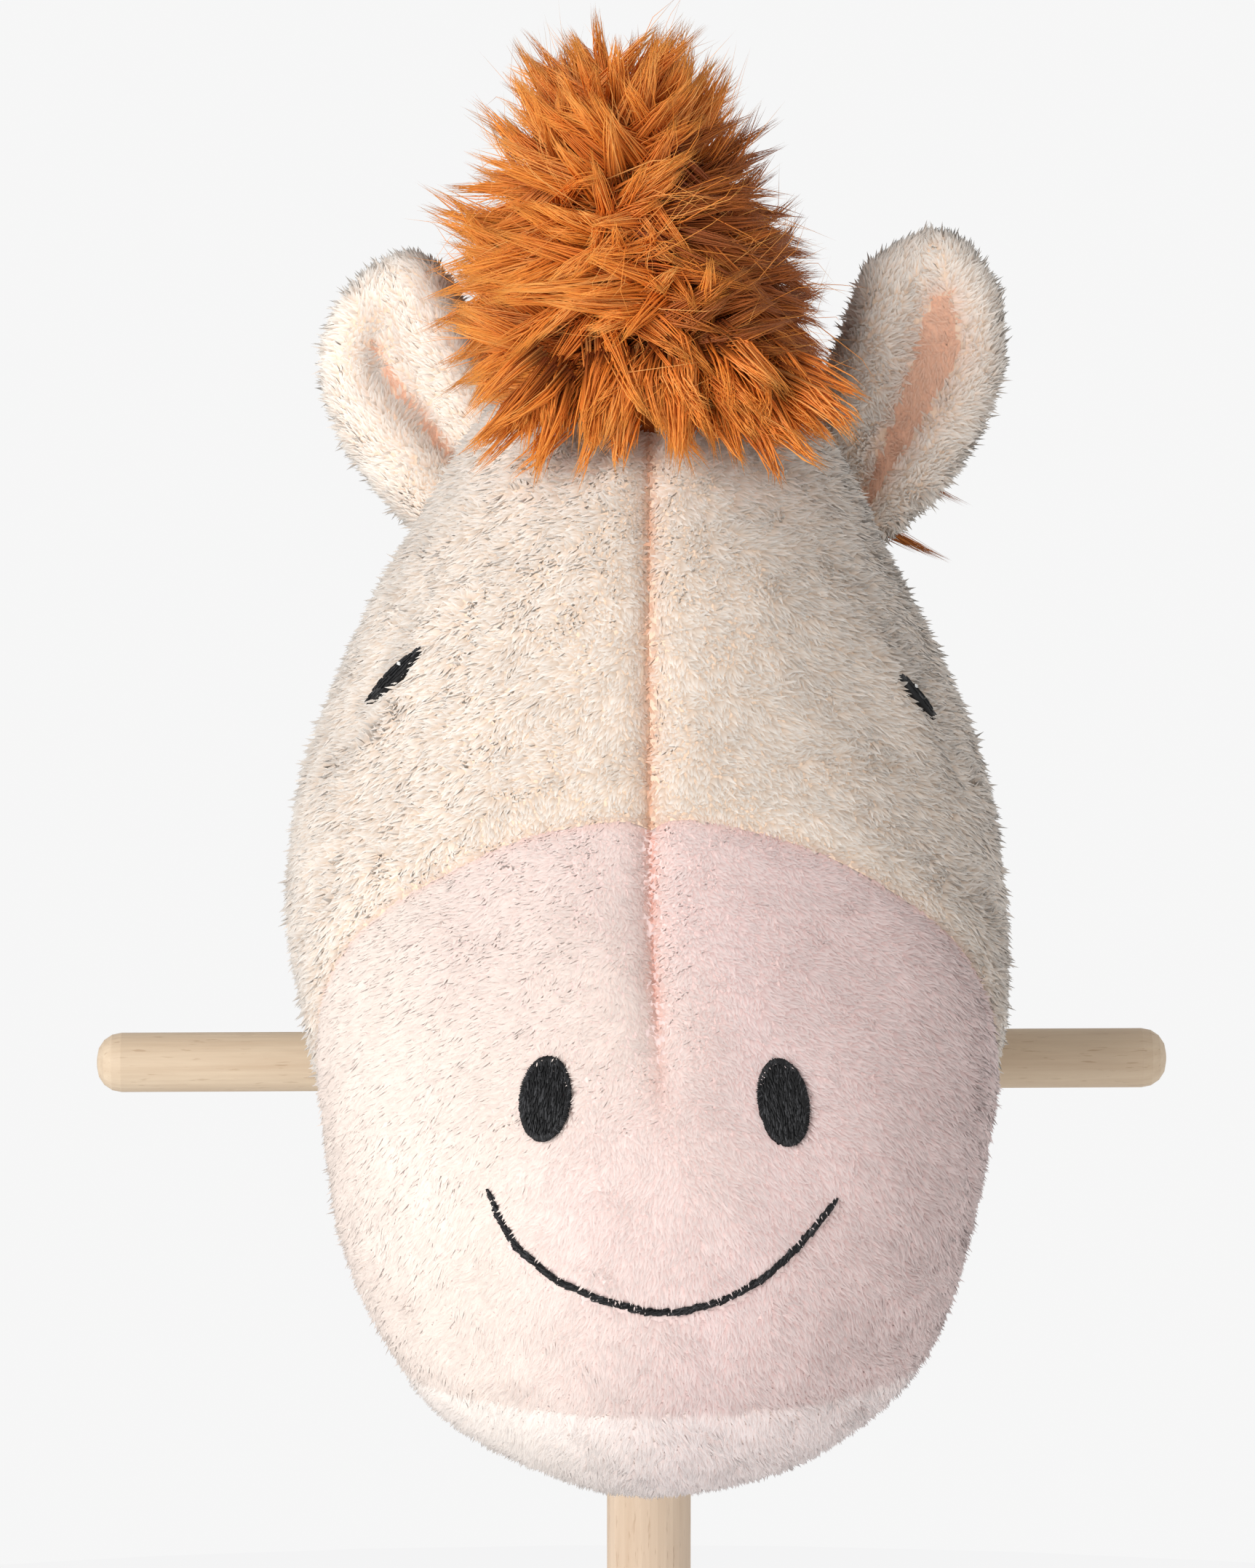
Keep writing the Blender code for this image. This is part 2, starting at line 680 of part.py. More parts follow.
stick_pocket = rod_cutter("stick_pocket", stick_radius + FIT_GAP, 0, STICK_LENGTH + FIT_GAP)
head_hollow = head_form("head_hollow", COVER_THICKNESS)
head_room = head_form("head_room", -FIT_GAP)
neck_room = neck_form("neck_room", -2 * FIT_GAP)
tie_half = TIE_THICKNESS / 2 + FIT_GAP
tie_room = rod_cutter("tie_room", tie_radius + tie_half, 0, tie_height + tie_half)

make_wood()
make_stuffing()
make_head_cover()
make_neck_cover()
make_neck_tie()
make_ears()
make_mane()
make_stitching()
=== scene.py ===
"""The looks of a hobby horse: a plush head with a furry mane on a wooden stick with a cross handle."""

import math

import bmesh
import bpy
import numpy as np
from mathutils import Matrix, Vector
from mathutils.bvhtree import BVHTree


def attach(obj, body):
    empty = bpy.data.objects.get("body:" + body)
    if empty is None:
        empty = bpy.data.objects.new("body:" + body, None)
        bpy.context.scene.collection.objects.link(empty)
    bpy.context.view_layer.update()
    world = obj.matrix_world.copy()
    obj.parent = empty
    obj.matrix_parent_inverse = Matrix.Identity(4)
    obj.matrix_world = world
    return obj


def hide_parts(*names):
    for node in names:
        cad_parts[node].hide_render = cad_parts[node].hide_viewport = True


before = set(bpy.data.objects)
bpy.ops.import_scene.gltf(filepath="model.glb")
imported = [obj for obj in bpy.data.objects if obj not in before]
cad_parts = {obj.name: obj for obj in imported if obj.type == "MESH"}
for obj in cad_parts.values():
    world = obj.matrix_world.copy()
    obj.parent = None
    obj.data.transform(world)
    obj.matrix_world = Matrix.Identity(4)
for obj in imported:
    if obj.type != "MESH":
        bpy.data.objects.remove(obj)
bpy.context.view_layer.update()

# Heights count from the handle's axis, as in the part's source
HANDLE = 0.565
CROWN = 0.180
CHIN = -0.079
MUZZLE_REACH = 0.155
HEAD_BACK = 0.036
HEAD_HALF = 0.1685 / 2
SEAM_HEIGHT = 0.080
SEAM_TILT = math.radians(12)
CHIN_SEAM_HEIGHT = -0.045
CHIN_SEAM_TILT = math.radians(4)
DART_END = 0.019
HEM_TOP = 0.019
NECK_TOP = 0.177
NECK_HALF = 0.045
NECK_BACK = 0.048
NECK_FRONT = 0.037

# Head from the chin up: share of its height, reach to the front and back as shares of the
# muzzle's reach (of the back's where it lies behind the stick) and half width
HEAD = [
    (0.03, 0.80, -0.47, 0.40),
    (0.10, 0.92, -0.38, 0.68),
    (0.20, 0.985, -0.30, 0.845),
    (0.33, 1.00, -0.19, 0.93),
    (0.46, 0.88, 0.05, 1.00),
    (0.58, 0.72, 0.68, 0.985),
    (0.70, 0.60, 0.97, 0.855),
    (0.82, 0.49, 1.00, 0.665),
    (0.94, 0.29, 0.70, 0.43),
]
NECK = [
    (0.12, 0.86, 0.70, 0.76),
    (0.34, 1.00, 0.94, 0.96),
    (0.62, 0.97, 1.00, 1.00),
    (0.88, 0.66, 0.80, 0.70),
]

# Shader and geometry nodes

class Wire:
    """A socket that takes part in sums, so that a pattern reads as an expression."""

    def __init__(self, kit, socket):
        self.kit = kit
        self.socket = socket

    def __add__(self, other):
        return self.kit.math("ADD", self, other)

    def __radd__(self, other):
        return self.kit.math("ADD", other, self)

    def __sub__(self, other):
        return self.kit.math("SUBTRACT", self, other)

    def __rsub__(self, other):
        return self.kit.math("SUBTRACT", other, self)

    def __mul__(self, other):
        return self.kit.math("MULTIPLY", self, other)

    def __rmul__(self, other):
        return self.kit.math("MULTIPLY", other, self)

    def __truediv__(self, other):
        return self.kit.math("DIVIDE", self, other)

    def __pow__(self, other):
        return self.kit.math("POWER", self, other)


class Kit:
    """Makes the nodes of one tree."""

    def __init__(self, tree):
        self.tree = tree

    def node(self, kind, inputs=None, output=0, stops=None, **settings):
        node = self.tree.nodes.new(kind)
        for key, value in settings.items():
            setattr(node, key, value)
        if stops:
            ramp = node.color_ramp.elements
            while len(ramp) > 1:
                ramp.remove(ramp[-1])
            for i, (place, colour) in enumerate(stops):
                stop = ramp[0] if i == 0 else ramp.new(place)
                stop.position = place
                stop.color = (*colour, 1) if len(colour) == 3 else colour
        for key, value in (inputs or {}).items():
            socket = node.inputs[key]
            if isinstance(value, Wire):
                self.tree.links.new(value.socket, socket)
            elif value is not None:
                socket.default_value = value
        return Wire(self, node.outputs[output])

    def math(self, operation, a, b=None):
        return self.node("ShaderNodeMath", {0: a, 1: b}, operation=operation)

    def vector(self, operation, a, b=None, scale=None, output=0):
        inputs = {0: a}
        if b is not None:
            inputs[1] = b
        if scale is not None:
            inputs["Scale"] = scale
        return self.node("ShaderNodeVectorMath", inputs, output, operation=operation)

    def mix(self, share, a, b, blend="MIX"):
        """A colour between two colours."""
        inputs = {0: share, 6: full(a), 7: full(b)}
        return self.node("ShaderNodeMix", inputs, 2, data_type="RGBA", blend_type=blend)

    def noise(self, place, scale, detail=3.0, roughness=0.5, distortion=0.0):
        return self.node("ShaderNodeTexNoise", {
            "Vector": place, "Scale": scale, "Detail": detail, "Roughness": roughness, "Distortion": distortion,
        })

    def spread(self, value, low, high, to_low=0.0, to_high=1.0):
        return self.node("ShaderNodeMapRange", {
            "Value": value, "From Min": low, "From Max": high, "To Min": to_low, "To Max": to_high,
        }, clamp=True)

    def attribute(self, name):
        return self.node("ShaderNodeAttribute", attribute_name=name, output=2)

    def place(self, turn=(0, 0, 0)):
        there = self.node("ShaderNodeTexCoord", output=3)
        return self.node("ShaderNodeMapping", {"Vector": there, "Rotation": turn})

    def bump(self, strength, distance, height):
        return self.node("ShaderNodeBump", {"Strength": strength, "Distance": distance, "Height": height})

    def looked_at(self):
        """1 where the camera, a mirror image or a look through glass finds a thing, and 0 for its light."""
        seen, glossy, through = (self.node("ShaderNodeLightPath", output=number) for number in (0, 3, 6))
        return self.math("MAXIMUM", self.math("MAXIMUM", seen, glossy), through)

    def named(self, name, kind="FLOAT"):
        return self.node("GeometryNodeInputNamedAttribute", {"Name": name}, data_type=kind)

    def kept(self, geometry, name, value, kind="FLOAT", domain="POINT"):
        inputs = {"Geometry": geometry, "Name": name, "Value": value}
        return self.node("GeometryNodeStoreNamedAttribute", inputs, data_type=kind, domain=domain)

    def chance(self, low, high, seed, number=None):
        inputs = {2: low, 3: high, "ID": number, "Seed": seed}
        return self.node("FunctionNodeRandomValue", inputs, 1, data_type="FLOAT")

    def any_way(self, seed, number=None):
        """A random vector, each of its parts from -1 to 1."""
        inputs = {0: (-1, -1, -1), 1: (1, 1, 1), "ID": number, "Seed": seed}
        return self.node("FunctionNodeRandomValue", inputs, 0, data_type="FLOAT_VECTOR")

def full(colour):
    return (*colour, 1.0) if isinstance(colour, tuple) and len(colour) == 3 else colour


def srgb(red, green, blue):
    """A colour given in screen values, 0 to 255."""
    values = (red, green, blue)
    return tuple(((c / 255 + 0.055) / 1.055) ** 2.4 if c > 10 else c / 255 / 12.92 for c in values)


def new_finish(name):
    material = bpy.data.materials.new(name)
    material.use_nodes = True
    shader = material.node_tree.nodes["Principled BSDF"]
    return material, Kit(material.node_tree), shader


def wire_up(kit, shader, **sockets):
    for key, value in sockets.items():
        socket = shader.inputs[key.replace("_", " ")]
        if isinstance(value, Wire):
            kit.tree.links.new(value.socket, socket)
        else:
            socket.default_value = full(value) if socket.type == "RGBA" else value


def pile_finish(name, root, body, tip, seam_shade_and_blush, patch, lit_side_colour=None):
    """Plush pile: darker at the roots between the tufts as painted shade, lighter at their tips as painted light, and
    uneven over the cloth.
    """
    material, kit, shader = new_finish(name)
    root, body, tip, seam_shade_and_blush = (srgb(*colour) for colour in (root, body, tip, seam_shade_and_blush))
    along = kit.attribute("along")
    tone = kit.attribute("tone")
    # Painted shade at the roots, where the tufts shade each other, and painted light at the tips
    colour = kit.mix(kit.spread(along, 0.0, 0.55), root, body)
    colour = kit.mix(kit.spread(along, 0.5, 1.0), colour, tip)
    patches = kit.noise(kit.place(), 38.0, 2.0)
    lift = 1.0 + (tone - 0.5) * patch * 2 + (patches - 0.5) * patch * 1.6
    grey = kit.node("ShaderNodeCombineColor", {0: lift, 1: lift, 2: lift})
    # Painted light: paler towards the left, the side that the key lamp lights
    if lit_side_colour:
        across = kit.node("ShaderNodeSeparateXYZ", {0: kit.place()})
        lit_side_share = kit.spread(across + (kit.noise(kit.place(), 14.0, 1.0) - 0.5) * 0.12, 0.02, -0.05)
        colour = kit.mix(lit_side_share * 0.85, colour, srgb(*lit_side_colour))
    colour = kit.mix(1.0, colour, grey, "MULTIPLY")
    # Painted shade along the seams; on the ears the same mix gives a peach tint round the lined fold
    colour = kit.mix(kit.attribute("seam"), colour, seam_shade_and_blush)
    wire_up(kit, shader, Base_Color=colour, Roughness=1.0, Sheen_Weight=0.05, Specular_IOR_Level=0.1)
    return material


def cloth_finish(name, colour, shade, sheen=0.3):
    """The knitted ground that the pile stands on."""
    material, kit, shader = new_finish(name)
    place = kit.place()
    ribs = kit.node("ShaderNodeTexWave", {"Vector": place, "Scale": 260.0, "Distortion": 2.0, "Detail": 1.0}, 1)
    grain = kit.noise(place, 900.0, 3.0, 0.6)
    patches = kit.noise(place, 45.0, 3.0)
    colour = kit.mix(kit.spread(patches * 0.6 + grain * 0.4, 0.3, 0.75), srgb(*shade), srgb(*colour))
    bump = kit.bump(0.35, 0.0004, ribs * 0.4 + grain * 0.6)
    wire_up(kit, shader, Base_Color=colour, Roughness=0.95, Normal=bump, Sheen_Weight=sheen, Specular_IOR_Level=0.2)
    return material


def mane_finish():
    """Long orange fur: brown at the root as painted shade, golden at the tips and on locks of high tone as painted
    highlight, and darker on locks of low tone.
    """
    material, kit, shader = new_finish("mane_fur_fibres")
    along = kit.attribute("along")
    tone = kit.attribute("tone")
    # Painted shade at the roots and painted highlight at the tips
    colour = kit.mix(kit.spread(along, 0.0, 0.4), srgb(126, 56, 18), srgb(233, 128, 42))
    colour = kit.mix(kit.spread(along, 0.4, 0.95), colour, srgb(252, 161, 66))
    # Golden on locks of high tone: painted highlight
    colour = kit.mix(kit.spread(tone, 0.6, 1.0) * 0.6, colour, srgb(254, 196, 116))
    # Dark brown on locks of low tone, which is random and, on the forelock's right, lowered as painted shade
    colour = kit.mix(kit.spread(tone, 0.4, 0.0) * 0.8, colour, srgb(142, 66, 24))
    wire_up(kit, shader, Base_Color=colour, Roughness=0.5, Specular_IOR_Level=0.4)
    return material


def thread_finish(name, colour, light, roughness):
    """Satin thread: fine bright strands along each stitch as painted highlight, darker towards each stitch's ends as
    painted shade.
    """
    material, kit, shader = new_finish(name)
    colour, light = srgb(*colour), srgb(*light)
    # The light colour is painted highlight, laid in flecks
    fleck = kit.noise(kit.place(), 1500.0, 2.0, 0.7)
    share = kit.spread(fleck + (kit.attribute("tone") - 0.5) * 0.5, 0.52, 0.85)
    base = kit.mix(share, colour, light)
    # Painted shade towards the ends of each stitch
    base = kit.mix(kit.spread(kit.attribute("along"), 0.0, 0.25, 0.4, 1.0), colour, base)
    bump = kit.bump(0.3, 0.0002, fleck)
    wire_up(kit, shader, Base_Color=base, Roughness=roughness, Normal=bump, Specular_IOR_Level=0.25)
    return material


def wood_finish(name, early, late, axis_turn, seed):
    """Sanded pale dowel: long grain lines, fine pores and slight uneven tone."""
    material, kit, shader = new_finish(name)
    shifted = kit.vector("ADD", kit.place(axis_turn), (seed, seed * 0.7, 0.0))
    stretched = kit.vector("MULTIPLY", shifted, (1.0, 1.0, 0.06))
    grain = kit.noise(stretched, 420.0, 5.0, 0.6, 0.4)
    bands = kit.noise(kit.vector("MULTIPLY", shifted, (1.0, 1.0, 0.03)), 110.0, 2.0, 0.5, 0.8)
    pores = kit.noise(kit.vector("MULTIPLY", shifted, (1.0, 1.0, 0.12)), 1500.0, 2.0, 0.5)
    flecks = kit.spread(pores, 0.63, 0.72)
    colour = kit.mix(kit.spread(grain * 0.55 + bands * 0.45, 0.35, 0.66), srgb(*late), srgb(*early))
    colour = kit.mix(flecks * 0.35, colour, srgb(150, 112, 76))
    bump = kit.bump(0.25, 0.0002, grain * 0.5 - flecks * 0.5)
    rough = kit.spread(grain, 0.3, 0.7, 0.5, 0.62)
    wire_up(kit, shader, Base_Color=colour, Roughness=rough, Normal=bump, Specular_IOR_Level=0.35)
    return material


def steel_finish(name):
    """Zinc-plated steel with a fine turned grain."""
    material, kit, shader = new_finish(name)
    grain = kit.noise(kit.vector("MULTIPLY", kit.place(), (1.0, 6.0, 1.0)), 900.0, 3.0, 0.6)
    colour = kit.mix(kit.spread(grain, 0.3, 0.7), srgb(170, 172, 174), srgb(206, 208, 208))
    rough = kit.spread(grain, 0.3, 0.7, 0.28, 0.42)
    bump = kit.bump(0.2, 0.0001, grain)
    wire_up(kit, shader, Base_Color=colour, Roughness=rough, Metallic=1.0, Normal=bump)
    return material


# Meshes

def link(thing):
    bpy.context.scene.collection.objects.link(thing)
    return thing


def mesh_piece(name, points, faces, material=None):
    mesh = bpy.data.meshes.new(name)
    mesh.from_pydata([tuple(p) for p in points], [], [tuple(f) for f in faces])
    if material:
        mesh.materials.append(material)
    mesh.update()
    mesh.shade_smooth()
    return link(bpy.data.objects.new(name, mesh))


def from_bmesh(name, bm):
    mesh = bpy.data.meshes.new(name)
    bm.to_mesh(mesh)
    bm.free()
    return link(bpy.data.objects.new(name, mesh))


def face_out(thing):
    """Turns the faces of a closed piece outwards."""
    bm = bmesh.new()
    bm.from_mesh(thing.data)
    bmesh.ops.recalc_face_normals(bm, faces=bm.faces)
    bm.to_mesh(thing.data)
    bm.free()


def belong(piece, slot, *nodes):
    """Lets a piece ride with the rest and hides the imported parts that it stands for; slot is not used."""
    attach(piece, "root")
    if nodes:
        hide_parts(*nodes)


def ring_faces(rings, sides, start=0, closed=False):
    """The faces between rings of points that follow each other."""
    faces = []
    for r in range(rings if closed else rings - 1):
        low, high = start + r * sides, start + (r + 1) % rings * sides
        for i in range(sides):
            j = (i + 1) % sides
            faces.append((low + i, low + j, high + j, high + i))
    return faces


def rod_faces(rings, sides, start=0):
    """The faces of a row of rings with a flat face at each end."""
    end = start + rings * sides
    caps = [tuple(range(start, start + sides))[::-1], tuple(range(end - sides, end))]
    return ring_faces(rings, sides, start) + caps


def stack_faces(rings, sides):
    """The faces of a stack of rings closed at its foot and top, which are the last two points."""
    faces = ring_faces(rings, sides)
    last, foot = (rings - 1) * sides, rings * sides
    for i in range(sides):
        j = (i + 1) % sides
        faces += [(j, i, foot), (last + i, last + j, foot + 1)]
    return faces


def unit(vectors):
    return vectors / np.linalg.norm(vectors, axis=-1, keepdims=True)


def run_lengths(path):
    """How far along a path each of its points lies."""
    return np.concatenate([[0], np.cumsum(np.linalg.norm(np.diff(path, axis=0), axis=1))])


def read(table, at):
    """The columns of a table at places between its rows, which its first column gives in rising order."""
    return [np.interp(at, table[:, 0], table[:, i]) for i in range(1, table.shape[1])]


def between(rows, step):
    """A row at a step that may lie between two rows."""
    i = min(int(step), len(rows) - 2)
    return rows[i] + (rows[i + 1] - rows[i]) * (step - i)


def coordinates(mesh, kind="co"):
    flat = np.empty(len(mesh.vertices) * 3, np.float32)
    mesh.vertices.foreach_get(kind, flat)
    return flat.reshape(-1, 3).astype(float)


def normals(mesh):
    return coordinates(mesh, "normal")


def set_coordinates(mesh, points):
    mesh.vertices.foreach_set("co", np.asarray(points, np.float32).ravel())
    mesh.update()


def give(mesh, name, values, kind="FLOAT"):
    """Writes values per point as a named attribute."""
    attribute = mesh.attributes.new(name, kind, "POINT")
    key = "value" if kind == "FLOAT" else "vector"
    attribute.data.foreach_set(key, np.asarray(values, np.float32).ravel())


def evaluated(thing):
    """The mesh that a piece's modifiers give, as a new mesh."""
    graph = bpy.context.evaluated_depsgraph_get()
    return bpy.data.meshes.new_from_object(thing.evaluated_get(graph), preserve_all_data_layers=True, depsgraph=graph)


def settled(thing):
    """Takes a piece's modifiers into its mesh."""
    mesh = evaluated(thing)
    thing.modifiers.clear()
    old = thing.data
    thing.data = mesh
    bpy.data.meshes.remove(old)
    return thing


def drop(thing):
    data = thing.data
    bpy.data.objects.remove(thing)
    if data.users == 0:
        bpy.data.meshes.remove(data)


def smooth_line(rows, count):
    """Points of a curve through rows, which the first and last row close to a rounded end."""
    rows = np.array(rows, float)
    before = rows[1] * np.array([1, 1, -1, -1])
    after = rows[-2] * np.array([1, 1, -1, -1])
    line = np.vstack([before, rows, after])
    steps = np.linspace(0, len(rows) - 1, count)
    first = np.minimum(steps.astype(int), len(rows) - 2)
    t = (steps - first)[:, None]
    a, b, c, d = (line[first + i] for i in range(4))
    return 0.5 * (2 * b + (c - a) * t + (2 * a - 5 * b + 4 * c - d) * t ** 2 + (3 * b - a - 3 * c + d) * t ** 3)


def oval_body(name, rows, inset, rings, sides):
    """A closed soft body through level ovals, each row (height, middle y, half depth, half width)."""
    line = smooth_line(rows, rings)
    angles = 2 * np.pi * (np.arange(sides) + 0.5) / sides
    low, high = line[0, 0], line[-1, 0]
    rise = 2 * (line[:, 0] - low) / (high - low) - 1
    points = []
    for i in range(1, rings - 1):
        height, middle, deep, wide = line[i]
        deep = max(deep - inset, 0.0005)
        wide = max(wide - inset, 0.0005)
        ring = [wide * np.cos(angles), middle + deep * np.sin(angles), np.full(sides, height - rise[i] * inset)]
        points.append(np.stack(ring, 1))
    foot = [0, line[0, 1], low + inset]
    top = [0, line[-1, 1], high - inset]
    return mesh_piece(name, np.vstack([*points, foot, top]), stack_faces(rings - 2, sides))


def oval_row(height, front, back, half_width):
    """A row of a body whose oval reaches from front to back at a height."""
    return height, (front + back) / 2, (back - front) / 2, half_width


def head_rows():
    rows = [(HANDLE + CHIN, -0.099, 0, 0)]
    for share, front, back, side in HEAD:
        behind = back * (HEAD_BACK if back > 0 else MUZZLE_REACH)
        height = HANDLE + CHIN + share * (CROWN - CHIN)
        rows.append(oval_row(height, -front * MUZZLE_REACH, behind, side * HEAD_HALF))
    rows.append((HANDLE + CROWN, -0.006, 0, 0))
    return rows


def head_front(height):
    share = (height - CHIN) / (CROWN - CHIN)
    shares = [row[0] for row in HEAD]
    return MUZZLE_REACH * float(np.interp(share, shares, [row[1] for row in HEAD]))


# Planes of the muzzle seam and the chin seam: a point and the way that the panel lies
to_muzzle = np.array([0, -math.cos(SEAM_TILT), -math.sin(SEAM_TILT)])
seam_point = np.array([0, -head_front(SEAM_HEIGHT), HANDLE + SEAM_HEIGHT]) - to_muzzle * 0.0068
chin_point = np.array([0, -head_front(CHIN_SEAM_HEIGHT), HANDLE + CHIN_SEAM_HEIGHT])
to_chin = np.array([0, math.sin(CHIN_SEAM_TILT), -math.cos(CHIN_SEAM_TILT)])


def seam_distances(points):
    """How far each point lies from the muzzle's, the chin's and the middle seam."""
    from_muzzle = (points - seam_point) @ to_muzzle
    from_chin = (points - chin_point) @ to_chin
    return from_muzzle, from_chin, np.abs(points[:, 0])


def smoothstep(x, low, high):
    t = np.clip((x - low) / (high - low), 0, 1)
    return t * t * (3 - 2 * t)


def seam_pull(points):
    """How far each point lies from the seams, and how strongly the middle one holds it, 0 to 1."""
    muzzle, chin, middle = seam_distances(points)
    height = points[:, 2] - HANDLE
    in_front = points[:, 1] < -0.03
    above_chin = chin < 0.001
    dart = smoothstep(height, DART_END - 0.004, DART_END + 0.035)
    runs = np.where(in_front & (muzzle > 0), dart, 1.0) * above_chin
    return muzzle, chin, middle, runs


def puffed(thing, hold, pressure, cap, frames=20):
    """Blows a closed body up like a stuffed cover; hold keeps the seams where they are."""
    mesh = thing.data
    start = coordinates(mesh)
    group = thing.vertex_groups.new(name="held")
    for i, weight in enumerate(hold):
        if weight > 0.02:
            group.add([i], float(min(weight, 1.0)), "REPLACE")
    cloth = thing.modifiers.new("cover", "CLOTH")
    settings = cloth.settings
    settings.quality = 6
    settings.mass = 0.01
    settings.tension_stiffness = 15
    settings.compression_stiffness = 15
    settings.shear_stiffness = 8
    settings.bending_stiffness = 2
    settings.use_pressure = True
    settings.uniform_pressure_force = pressure
    settings.vertex_group_mass = "held"
    settings.effector_weights.gravity = 0
    cloth.point_cache.frame_start = 1
    cloth.point_cache.frame_end = frames
    for number in range(1, frames + 1):
        bpy.context.scene.frame_set(number)
    blown = evaluated(thing)
    move = coordinates(blown) - start
    bpy.data.meshes.remove(blown)
    thing.modifiers.clear()
    thing.vertex_groups.clear()
    bpy.context.scene.frame_set(1)
    length = np.linalg.norm(move, axis=1, keepdims=True)
    move *= np.minimum(1, cap / np.maximum(length, 1e-9))
    set_coordinates(mesh, start + move)


def remeshed(thing, size):
    voxels = thing.modifiers.new("even", "REMESH")
    voxels.mode = "VOXEL"
    voxels.voxel_size = size
    voxels.use_smooth_shade = True
    return settled(thing)


def relaxed(thing, times):
    soft = thing.modifiers.new("relax", "SMOOTH")
    soft.iterations = times
    soft.factor = 0.5
    return settled(thing)


def finer(thing):
    soft = thing.modifiers.new("finer", "SUBSURF")
    soft.levels = 1
    soft.render_levels = 1
    return settled(thing)


def cut_away(thing, name, planes, closed):
    """A copy of what lies on the far side of each plane (point, direction), open or closed."""
    bm = bmesh.new()
    bm.from_mesh(thing.data)
    for point, direction in planes:
        bmesh.ops.bisect_plane(
            bm, geom=[*bm.verts, *bm.edges, *bm.faces], dist=1e-6,
            plane_co=Vector(point), plane_no=-Vector(direction), clear_outer=True,
        )
        if closed:
            rim = [e for e in bm.edges if e.is_boundary]
            bmesh.ops.holes_fill(bm, edges=rim, sides=0)
    if closed:
        bmesh.ops.recalc_face_normals(bm, faces=bm.faces)
    return from_bmesh(name, bm)


# Pile

TUFT_SIDES = 3
TUFT_CORNERS = TUFT_SIDES * 4


def tuft_mesh(name):
    """One tuft of pile, one unit tall and one unit thick, drawn out to a point."""
    angles = [2 * math.pi * i / TUFT_SIDES for i in range(TUFT_SIDES)]
    points = [(0.5 * math.cos(a), 0.5 * math.sin(a), 0) for a in angles] + [(0, 0, 1)]
    faces = [(i, (i + 1) % TUFT_SIDES, TUFT_SIDES) for i in range(TUFT_SIDES)] + [tuple(range(TUFT_SIDES))[::-1]]
    made = mesh_piece(name, points, faces)
    give(made.data, "along", [p[2] for p in points])
    return made


def new_tree(name, inputs, result):
    tree = bpy.data.node_groups.new(name, "GeometryNodeTree")
    for label, kind in inputs.items():
        tree.interface.new_socket(label, in_out="INPUT", socket_type="NodeSocket" + kind)
    tree.interface.new_socket(result, in_out="OUTPUT", socket_type="NodeSocketGeometry")
    kit = Kit(tree)
    group = tree.nodes.new("NodeGroupInput")
    return kit, {socket.name: Wire(kit, socket) for socket in group.outputs if socket.name}


def end_tree(kit, geometry, finish):
    """Gives the geometry its finish and hands it out of the tree."""
    geometry = kit.node("GeometryNodeSetMaterial", {"Geometry": geometry, "Material": finish})
    end = kit.tree.nodes.new("NodeGroupOutput")
    kit.tree.links.new(geometry.socket, end.inputs[0])
    return kit.tree


